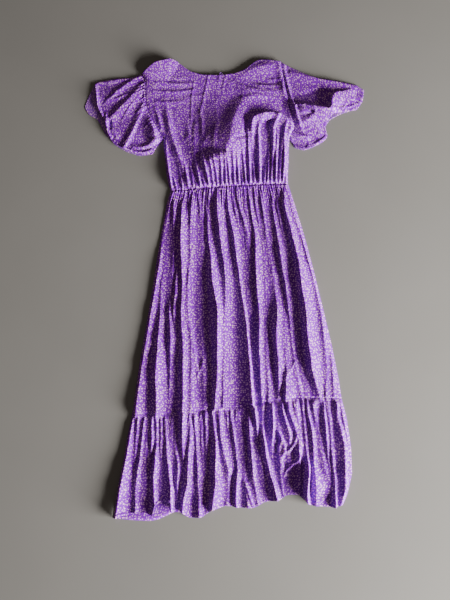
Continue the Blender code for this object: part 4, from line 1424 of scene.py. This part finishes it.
@dataclass(frozen=True)
class ClothFinish:
    """The printed viscose.

    Attributes:
        name: material name.
        ground: colour between the marks.
        petal: two colours of the flowers.
        leaf: colour of the dashes.
        heart: colour of the flowers' middles.
        faded: colour that the print fades to.
        fade: how far it has faded, as on the cloth's wrong side.
        sheen: strength, roughness and colour of the fibres' own shine.
        shine: strength of the cloth's plain reflection.
    """

    name: str
    ground: Colour = (0.185, 0.006, 0.425, 1)
    petal: tuple[Colour, Colour] = ((0.88, 0.46, 0.90, 1), (0.96, 0.56, 0.80, 1))
    leaf: Colour = (0.58, 0.26, 0.52, 1)
    heart: Colour = (0.30, 0.05, 0.24, 1)
    faded: Colour = (0.44, 0.30, 0.58, 1)
    fade: float = 0.0
    sheen: tuple[float, float, Colour] = (0.06, 0.4, (0.8, 0.65, 1, 1))
    shine: float = 0.1

    def build(self, floral: bpy.types.NodeTree, crepe: bpy.types.NodeTree) -> bpy.types.Material:
        """Makes the material from the print and weave groups.

        Args:
            floral: the print.
            crepe: the weave.

        Returns:
            The material.
        """
        material = bpy.data.materials.new(self.name)
        material.use_nodes = True
        graph = Graph(material.node_tree)
        shader = material.node_tree.nodes["Principled BSDF"]
        place = graph.add("ShaderNodeUVMap", uv_map="cloth").outputs[0]
        marks = graph.add("ShaderNodeGroup", node_tree=floral)
        graph.put(marks.inputs[0], place)
        weave = graph.add("ShaderNodeGroup", node_tree=crepe)
        graph.put(weave.inputs[0], place)
        cloudy = graph.remap(graph.noise(place, 14, 3), 0.3, 0.7, 0.93, 1.06)
        ground = graph.mix(1.0, self.ground, graph.grey(cloudy), "MULTIPLY")
        petals = graph.mix(marks.outputs["Tone"], *self.petal)
        colour = graph.mix(graph.math("MULTIPLY", marks.outputs["Dash"], 0.6), ground, self.leaf)
        colour = graph.mix(graph.math("MULTIPLY", marks.outputs["Flower"], 0.92), colour, petals)
        colour = graph.mix(graph.math("MULTIPLY", marks.outputs["Heart"], 0.75), colour, self.heart)
        colour = graph.mix(self.fade, colour, self.faded)
        graph.put(shader.inputs["Base Color"], colour)
        graph.put(shader.inputs["Roughness"], graph.remap(graph.noise(place, 60, 2), 0.3, 0.7, 0.58, 0.72))
        shader.inputs["Specular IOR Level"].default_value = self.shine
        for part, value in zip(("Weight", "Roughness", "Tint"), self.sheen):
            shader.inputs["Sheen " + part].default_value = value
        graph.put(shader.inputs["Normal"], graph.bump(weave.outputs[0], 0.35, 0.1, self.sewn_normal(graph)))
        return material

    def sewn_normal(self, graph: Graph) -> bpy.types.NodeSocket:
        """Shapes the turned hem: a low step where its turning ends, and the dents of its stitches.

        Args:
            graph: where the nodes go.

        Returns:
            The normal.
        """
        hem = graph.add("ShaderNodeAttribute", attribute_name=Edge.HEM.value).outputs["Fac"]
        step = graph.remap(hem, *HEM_TURNING, 1, 0)
        from_stitches = graph.math("ABSOLUTE", graph.math("SUBTRACT", hem, HEM_STITCHES))
        dent = graph.remap(from_stitches, 0.0, 1.1 * MM, -0.7, 0)
        return graph.bump(graph.math("ADD", step, dent), 0.8, 0.5)


def cloth_coordinates(points: np.ndarray, offset: tuple[float, float]) -> np.ndarray:
    """Place of each grid point on its flat cloth, so that the print keeps its size in the folds.

    Args:
        points: rows and columns of x, y and z.
        offset: place of the print on the cloth, in metres.

    Returns:
        Rows and columns of u and v, in metres.
    """
    across = np.linalg.norm(np.diff(points, axis=1), axis=-1)
    down = np.linalg.norm(np.diff(points, axis=0), axis=-1)
    across = np.concatenate([np.zeros((points.shape[0], 1)), np.cumsum(across, axis=1)], axis=1)
    down = np.concatenate([np.zeros((1, points.shape[1])), np.cumsum(down, axis=0)], axis=0)
    middle = across[:, across.shape[1] // 2]
    down = down.mean(axis=1)[:, None] * 0.5 + down * 0.5
    return np.stack([across - middle[:, None] + offset[0], offset[1] - down], axis=-1)


@dataclass(frozen=True)
class Cut:
    """The flat cloth that a piece is made from, as far as it shows.

    Attributes:
        flat: its width and length, in metres. Not used.
        area: its area, in square metres. Not used.
        offset: place of the print on it, in metres.
    """

    flat: tuple[float, float]
    area: float
    offset: tuple[float, float]


CUTS = {
    "bodice_front": Cut((0.55, 0.42), 0.135, (0.3, 1.0)),
    "skirt_front": Cut((0.57, 0.63), 0.284, (0.2, 2.1)),
    "tier_front": Cut((0.62, 0.28), 0.152, (0.5, 3.1)),
    "bodice_back": Cut((0.46, 0.43), 0.165, (0.0, 0.0)),
    "skirt_back": Cut((0.65, 0.63), 0.33, (0.1, 4.2)),
    "tier_back": Cut((0.78, 0.29), 0.185, (0.4, 5.3)),
    "sleeve_left": Cut((0.62, 0.2), 0.08, (0.7, 6.1)),
    "sleeve_right": Cut((0.62, 0.2), 0.08, (0.9, 7.2)),
}


@dataclass
class ClothPiece:
    """One piece of cloth as a thin shell.

    Attributes:
        node: CAD node that it stands for.
        held: how the cloth lies. Not used.
        rests_on: what it lies on or hangs from. Not used.
        piece: its object, once it is built.
    """

    node: str
    held: Held
    rests_on: tuple[str, ...] = ()
    piece: bpy.types.Object | None = None

    def build(
        self,
        points: np.ndarray,
        marks: dict[Edge, np.ndarray],
        materials: list[bpy.types.Material],
        tube: bool = False,
    ) -> None:
        """Makes the shell from a grid of points.

        Args:
            points: rows and columns of x, y and z. A tube's last column meets its first.
            marks: distance of each point from its hem, if there is one.
            materials: the cloth's right side and its wrong side.
            tube: whether the columns run right round.
        """
        name = self.node + "_cloth"
        rows, columns = points.shape[:2]
        wide = columns if tube else columns - 1
        row, column = (part.ravel() for part in np.mgrid[0 : rows - 1, 0:wide])
        after = (column + 1) % columns
        corners = np.stack([(row, column), (row + 1, column), (row + 1, after), (row, after)])
        index = corners[:, 0] * columns + corners[:, 1]
        mesh = bpy.data.meshes.new(name)
        mesh.from_pydata(points.reshape(-1, 3), [], index.T.tolist())
        looped = np.concatenate([points, points[:, :1]], axis=1) if tube else points
        flat = cloth_coordinates(looped, CUTS[self.node].offset)
        unwrapped = np.stack([(row, column), (row + 1, column), (row + 1, column + 1), (row, column + 1)])
        places = flat[unwrapped[:, 0], unwrapped[:, 1]].transpose(1, 0, 2)
        mesh.uv_layers.new(name="cloth").uv.foreach_set("vector", places.astype(np.float32).ravel())
        hem = marks.get(Edge.HEM, np.full((rows, columns), NO_HEM))
        layer = mesh.attributes.new(Edge.HEM.value, "FLOAT", "POINT")
        layer.data.foreach_set("value", hem.astype(np.float32).ravel())
        mesh.polygons.foreach_set("use_smooth", np.ones(len(mesh.polygons), bool))
        for material in materials:
            mesh.materials.append(material)
        self.piece = bpy.data.objects.new(name, mesh)
        self.piece.shadow_terminator_geometry_offset = 0.3
        bpy.context.scene.collection.objects.link(self.piece)
        shell = self.piece.modifiers.new("shell", "SOLIDIFY")
        shell.thickness = SHELL
        shell.offset = -1
        shell.material_offset = len(materials) - 1
        shell.material_offset_rim = 0
        LOG.info("%s: %d points", name, rows * columns)

    def declare(self, with_pieces: list[bpy.types.Object]) -> None:
        """Hides the CAD part that this piece stands for and sets the piece on the root.

        Args:
            with_pieces: what is sewn on it. Not used.
        """
        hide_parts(self.node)
        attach(self.piece, "root")


@dataclass(frozen=True)
class ThreadFinish:
    """Matt spun polyester sewing thread.

    Attributes:
        name: material name.
        colours: its darker and its lighter colour.
    """

    name: str
    colours: tuple[Colour, Colour]

    def build(self) -> bpy.types.Material:
        """Makes the material: uneven colour and a twisted surface.

        Returns:
            The material.
        """
        material = bpy.data.materials.new(self.name)
        material.use_nodes = True
        graph = Graph(material.node_tree)
        shader = material.node_tree.nodes["Principled BSDF"]
        place = graph.add("ShaderNodeTexCoord").outputs["Object"]
        fuzz = graph.noise(place, 2600, 2)
        graph.put(shader.inputs["Base Color"], graph.mix(graph.noise(place, 240, 2), *self.colours))
        graph.put(shader.inputs["Roughness"], graph.remap(fuzz, 0.3, 0.7, 0.5, 0.7))
        graph.put(shader.inputs["Normal"], graph.bump(fuzz, 0.5, 0.05))
        return material


@dataclass(frozen=True)
class StitchRow:
    """One row of machine stitches along an edge of a cloth piece.

    Attributes:
        name: name of its object.
        node: CAD node whose cloth it is sewn on.
        mark: the edge that it follows.
        distance: how far in from that edge it runs, in metres.
        length: length of a stitch.
        gap: gap from one stitch to the next.
        thick: thickness of its thread.
    """

    name: str
    node: str
    mark: Edge
    distance: float
    length: float = 2.3 * MM
    gap: float = 0.8 * MM
    thick: float = 0.38 * MM

    def line(self, surface: Surface) -> np.ndarray:
        """Finds the points of a surface at the row's distance from its edge.

        Args:
            surface: form of the cloth.

        Returns:
            One point for each column but the outermost.
        """
        values, points = surface.marks[self.mark], surface.points()
        if values[0, 0] > values[-1, 0]:
            values, points = values[::-1], points[::-1]
        columns = range(2, points.shape[1] - 2)
        found = [
            [np.interp(self.distance, values[:, column], points[:, column, axis]) for axis in range(3)]
            for column in columns
        ]
        return np.array(found)

    def build(self, surface: Surface, material: bpy.types.Material) -> bpy.types.Object:
        """Sets the row's stitches on a surface.

        Args:
            surface: form of the cloth.
            material: finish of the thread.

        Returns:
            The row, as one joined mesh.
        """
        line = self.line(surface)
        steps = np.linalg.norm(np.diff(line, axis=0), axis=1)
        reached = np.concatenate([[0], np.cumsum(steps)])
        starts = np.arange(0, reached[-1] - self.length, self.length + self.gap)
        ends = [
            np.stack([np.interp(at, reached, line[:, axis]) for axis in range(3)], axis=-1)
            for at in (starts, starts + self.length)
        ]
        bpy.ops.object.select_all(action="DESELECT")
        bpy.ops.mesh.primitive_uv_sphere_add(segments=6, ring_count=6, radius=0.5)
        stitch = bpy.context.active_object
        form = np.array([corner.co for corner in stitch.data.vertices])
        faces = [list(face.vertices) for face in stitch.data.polygons]
        bpy.data.objects.remove(stitch)
        way = ends[1] - ends[0]
        long = np.linalg.norm(way, axis=1)[:, None]
        way = way / long
        side = np.cross((0, 0, 1), way)
        side /= np.linalg.norm(side, axis=1)[:, None]
        axes = np.stack([way * long, side * self.thick, np.cross(way, side) * self.thick], axis=1)
        middle = (ends[0] + ends[1]) / 2 + (0, 0, 0.3 * self.thick)
        corners = np.einsum("vk,skc->svc", form[:, [2, 0, 1]], axes) + middle[:, None]
        mesh = bpy.data.meshes.new(self.name)
        shift = len(form)
        places = range(len(starts))
        joined = [[corner + shift * place for corner in face] for place in places for face in faces]
        mesh.from_pydata(corners.reshape(-1, 3), [], joined)
        mesh.polygons.foreach_set("use_smooth", np.ones(len(mesh.polygons), bool))
        mesh.materials.append(material)
        row = bpy.data.objects.new(self.name, mesh)
        bpy.context.scene.collection.objects.link(row)
        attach(row, "root")
        LOG.info("%s: %d stitches", self.name, len(starts))
        return row


STITCH_ROWS = (
    StitchRow("stitches_neck", "bodice_back", Edge.HEM, 5.5 * MM),
    StitchRow("stitches_waist", "bodice_back", Edge.SEAM, 1.0 * MM, 2.6 * MM, 2.2 * MM, 0.6 * MM),
    StitchRow("stitches_tier_seam", "tier_back", Edge.SEAM, 1.2 * MM),
    StitchRow("stitches_hem", "tier_back", Edge.HEM, HEM_STITCHES),
    StitchRow("stitches_cuff_left", "sleeve_left", Edge.HEM, HEM_STITCHES),
    StitchRow("stitches_cuff_right", "sleeve_right", Edge.HEM, HEM_STITCHES),
)


@dataclass(frozen=True)
class NeckLoop:
    """The small thread loop at the middle of the back neck.

    Attributes:
        place: middle of its foot on the neck edge, in metres.
        radius: radius of the loop.
        thick: thickness of its cord.
        stretch: how the ring is drawn out each way.
        sunk: how far below its middle it enters the cloth, in radii.
    """

    place: tuple[float, float, float] = (-12 * MM, 605.5 * MM, 6.0 * MM)
    radius: float = 4.2 * MM
    thick: float = 1.0 * MM
    stretch: tuple[float, float, float] = (0.75, 1.35, 1.0)
    sunk: float = 0.4

    def build(self, material: bpy.types.Material) -> bpy.types.Object:
        """Makes a ring, cuts off what would be in the cloth and closes its feet.

        Args:
            material: finish of the cord.

        Returns:
            The loop.
        """
        bpy.ops.object.select_all(action="DESELECT")
        bpy.ops.mesh.primitive_torus_add(
            major_radius=self.radius,
            minor_radius=self.thick / 2,
            major_segments=32,
            minor_segments=10,
            location=self.place,
        )
        loop = bpy.context.active_object
        loop.name = "neck_loop"
        bpy.ops.object.mode_set(mode="EDIT")
        bpy.ops.mesh.select_all(action="SELECT")
        bpy.ops.transform.resize(value=self.stretch, center_override=self.place)
        foot = (self.place[0], self.place[1] - self.sunk * self.radius, self.place[2])
        bpy.ops.mesh.bisect(plane_co=foot, plane_no=(0, 1, 0), use_fill=True, clear_inner=True)
        bpy.ops.object.mode_set(mode="OBJECT")
        bpy.ops.object.transform_apply(location=True, rotation=True, scale=True)
        loop.data.shade_smooth()
        loop.data.materials.append(material)
        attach(loop, "root")
        LOG.info("neck_loop: %d points", len(loop.data.vertices))
        return loop


@dataclass
class Dress:
    """All pieces of the dress.

    Attributes:
        materials: the cloth's right side and its wrong side.
        pieces: the cloth pieces, by the node that each stands for.
        surfaces: form of each piece that something is sewn on.
        sewn: what is sewn on each piece.
    """

    materials: list[bpy.types.Material] = field(default_factory=list)
    pieces: dict[str, ClothPiece] = field(default_factory=dict)
    surfaces: dict[str, Surface] = field(default_factory=dict)
    sewn: dict[str, list[bpy.types.Object]] = field(default_factory=dict)

    def build(self) -> None:
        """Builds the cloth pieces in order, the under layers first."""
        groups = FloralPrint().group(), Crepe().group()
        finishes = (ClothFinish("printed_viscose"), ClothFinish("printed_viscose_wrong_side", fade=0.2))
        self.materials = [finish.build(*groups) for finish in finishes]
        bodice, skirt, tier = Bodice(), Skirt(), Tier()
        self.front("bodice_front", bodice.plan(FRONT_NECK_AND_SHOULDERS, 6))
        self.front("skirt_front", skirt.plan(6))
        self.front("tier_front", tier.plan(HEM_FRONT, 153, 24))
        self.back("bodice_back", bodice.back())
        self.back("skirt_back", skirt.back())
        self.back("tier_back", tier.back(skirt))
        self.sleeve("sleeve_left", SLEEVE_LEFT)
        self.sleeve("sleeve_right", SLEEVE_RIGHT)

    def front(self, node: str, plan: np.ndarray) -> None:
        """Builds a front piece, which lies flat underneath.

        Args:
            node: CAD node that it stands for.
            plan: rows and columns of x and y.
        """
        surface = Surface(plan, np.full(plan.shape[:2], SHELL), {Edge.HEM: from_edge(plan, -1)})
        piece = ClothPiece(node, Held.LAID)
        piece.build(surface.points(), surface.marks, self.materials)
        self.pieces[node] = piece

    def back(self, node: str, surface: Surface) -> None:
        """Builds a back piece, which lies on its front piece in folds.

        Args:
            node: CAD node that it stands for.
            surface: its form, which is lifted onto the front piece.
        """
        surface.height = surface.height + UPPER_LAYER
        piece = ClothPiece(node, Held.GATHERED, (node.replace("back", "front"),))
        piece.build(surface.points(), surface.marks, self.materials)
        self.pieces[node] = piece
        self.surfaces[node] = surface

    def sleeve(self, node: str, form: Sleeve) -> None:
        """Builds a sleeve: its back layer, and its under layer behind it, as one tube.

        Args:
            node: CAD node that it stands for.
            form: the sleeve.
        """
        back, under = form.back(), form.under()
        back.height = back.height + UPPER_LAYER
        points = np.concatenate([back.points(), under.points()[:, ::-1]], axis=1)
        hem = np.concatenate([back.marks[Edge.HEM], under.marks[Edge.HEM][:, ::-1]], axis=1)
        if form.outward > 0:
            points, hem = points[:, ::-1], hem[:, ::-1]
        piece = ClothPiece(node, Held.GATHERED)
        piece.build(points, {Edge.HEM: hem}, self.materials, tube=True)
        self.pieces[node] = piece
        self.surfaces[node] = back

    def sew(self) -> None:
        """Adds the rows of stitches and the neck loop, each to the piece that it is sewn on."""
        matching = ThreadFinish("matching_thread", ((0.20, 0.05, 0.42, 1), (0.32, 0.12, 0.56, 1))).build()
        tan = ThreadFinish("tan_thread", ((0.16, 0.07, 0.06, 1), (0.48, 0.28, 0.20, 1))).build()
        for row in STITCH_ROWS:
            thread = tan if row.name == "stitches_waist" else matching
            self.sewn.setdefault(row.node, []).append(row.build(self.surfaces[row.node], thread))
        self.sewn["bodice_back"].append(NeckLoop().build(matching))

    def declare(self) -> None:
        """Hides the CAD part behind each piece and sets each piece on the root."""
        for node, piece in self.pieces.items():
            piece.declare(self.sewn.get(node, []))


@dataclass(frozen=True)
class Studio:
    """Camera, floor and light.

    Attributes:
        camera_height: height of the camera over the floor.
        camera_back: how far it stands back from the middle of the dress.
        tilt: how far it looks up from straight down, in degrees.
        lens: focal length in millimetres on a 36 mm sensor.
        light_turn: where the key light stands, in degrees from +X towards +Y.
        light_climb: how high it stands, in degrees.
        light_far: how far off it stands, in metres.
        light_size: its width and height, in metres.
        light_watts: its power.
        light_colour: its colour.
        fill_colour: colour of the light from all round.
        fill: strength of that light.
        floor_size: width of the floor, in metres.
        floor_colours: the two colours that it varies between.
    """

    camera_height: float = 1.237
    camera_back: float = 0.2761
    tilt: float = 9.0
    lens: float = 27.04
    light_turn: float = -31.0
    light_climb: float = 11.0
    light_far: float = 3.2
    light_size: tuple[float, float] = (2.0, 1.1)
    light_watts: float = 790
    light_colour: Colour = (1.0, 0.98, 0.95)
    fill_colour: Colour = (1.0, 0.86, 0.78, 1)
    fill: float = 0.125
    floor_size: float = 24
    floor_colours: tuple[Colour, Colour] = ((0.2, 0.194, 0.182, 1), (0.23, 0.222, 0.21, 1))

    def camera(self) -> None:
        """Sets the camera at the photo's angle to the floor."""
        data = bpy.data.cameras.new("camera")
        data.lens = self.lens
        data.sensor_width = 36
        camera = bpy.data.objects.new("camera", data)
        camera.location = (0, -self.camera_back, self.camera_height)
        camera.rotation_euler = (math.radians(self.tilt), 0, 0)
        bpy.context.scene.collection.objects.link(camera)
        bpy.context.scene.camera = camera

    def floor(self) -> None:
        """Lays the plain pale floor."""
        bpy.ops.object.select_all(action="DESELECT")
        bpy.ops.mesh.primitive_plane_add(size=self.floor_size, location=(0, 0, -0.3 * MM))
        floor = bpy.context.active_object
        floor.name = "floor"
        material = bpy.data.materials.new("pale_floor")
        material.use_nodes = True
        graph = Graph(material.node_tree)
        shader = material.node_tree.nodes["Principled BSDF"]
        place = graph.add("ShaderNodeTexCoord").outputs["Object"]
        tone = graph.mix(graph.noise(place, 3, 3), *self.floor_colours)
        graph.put(shader.inputs["Base Color"], tone)
        shader.inputs["Roughness"].default_value = 1.0
        shader.inputs["Specular IOR Level"].default_value = 0.05
        floor.data.materials.append(material)

    def light(self) -> None:
        """Sets a soft low key light on the right and a faint fill from all round."""
        turn, climb = math.radians(self.light_turn), math.radians(self.light_climb)
        level = math.cos(climb)
        way = np.array([math.cos(turn) * level, math.sin(turn) * level, math.sin(climb)])
        key = bpy.data.lights.new("key", "AREA")
        key.shape = "RECTANGLE"
        key.size, key.size_y = self.light_size
        key.energy = self.light_watts
        key.color = self.light_colour
        lamp = bpy.data.objects.new("key", key)
        lamp.location = way * self.light_far
        lamp.rotation_euler = (math.pi / 2 - climb, 0, turn + math.pi / 2)
        bpy.context.scene.collection.objects.link(lamp)
        world = bpy.data.worlds.new("studio")
        world.use_nodes = True
        background = world.node_tree.nodes["Background"]
        background.inputs[0].default_value = self.fill_colour
        background.inputs[1].default_value = self.fill
        bpy.context.scene.world = world


def main() -> None:
    """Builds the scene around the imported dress."""
    logging.basicConfig(level=logging.INFO, format="%(message)s")
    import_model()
    studio = Studio()
    studio.camera()
    dress = Dress()
    dress.build()
    dress.sew()
    dress.declare()
    studio.floor()
    studio.light()


if __name__ == "__main__":
    main()
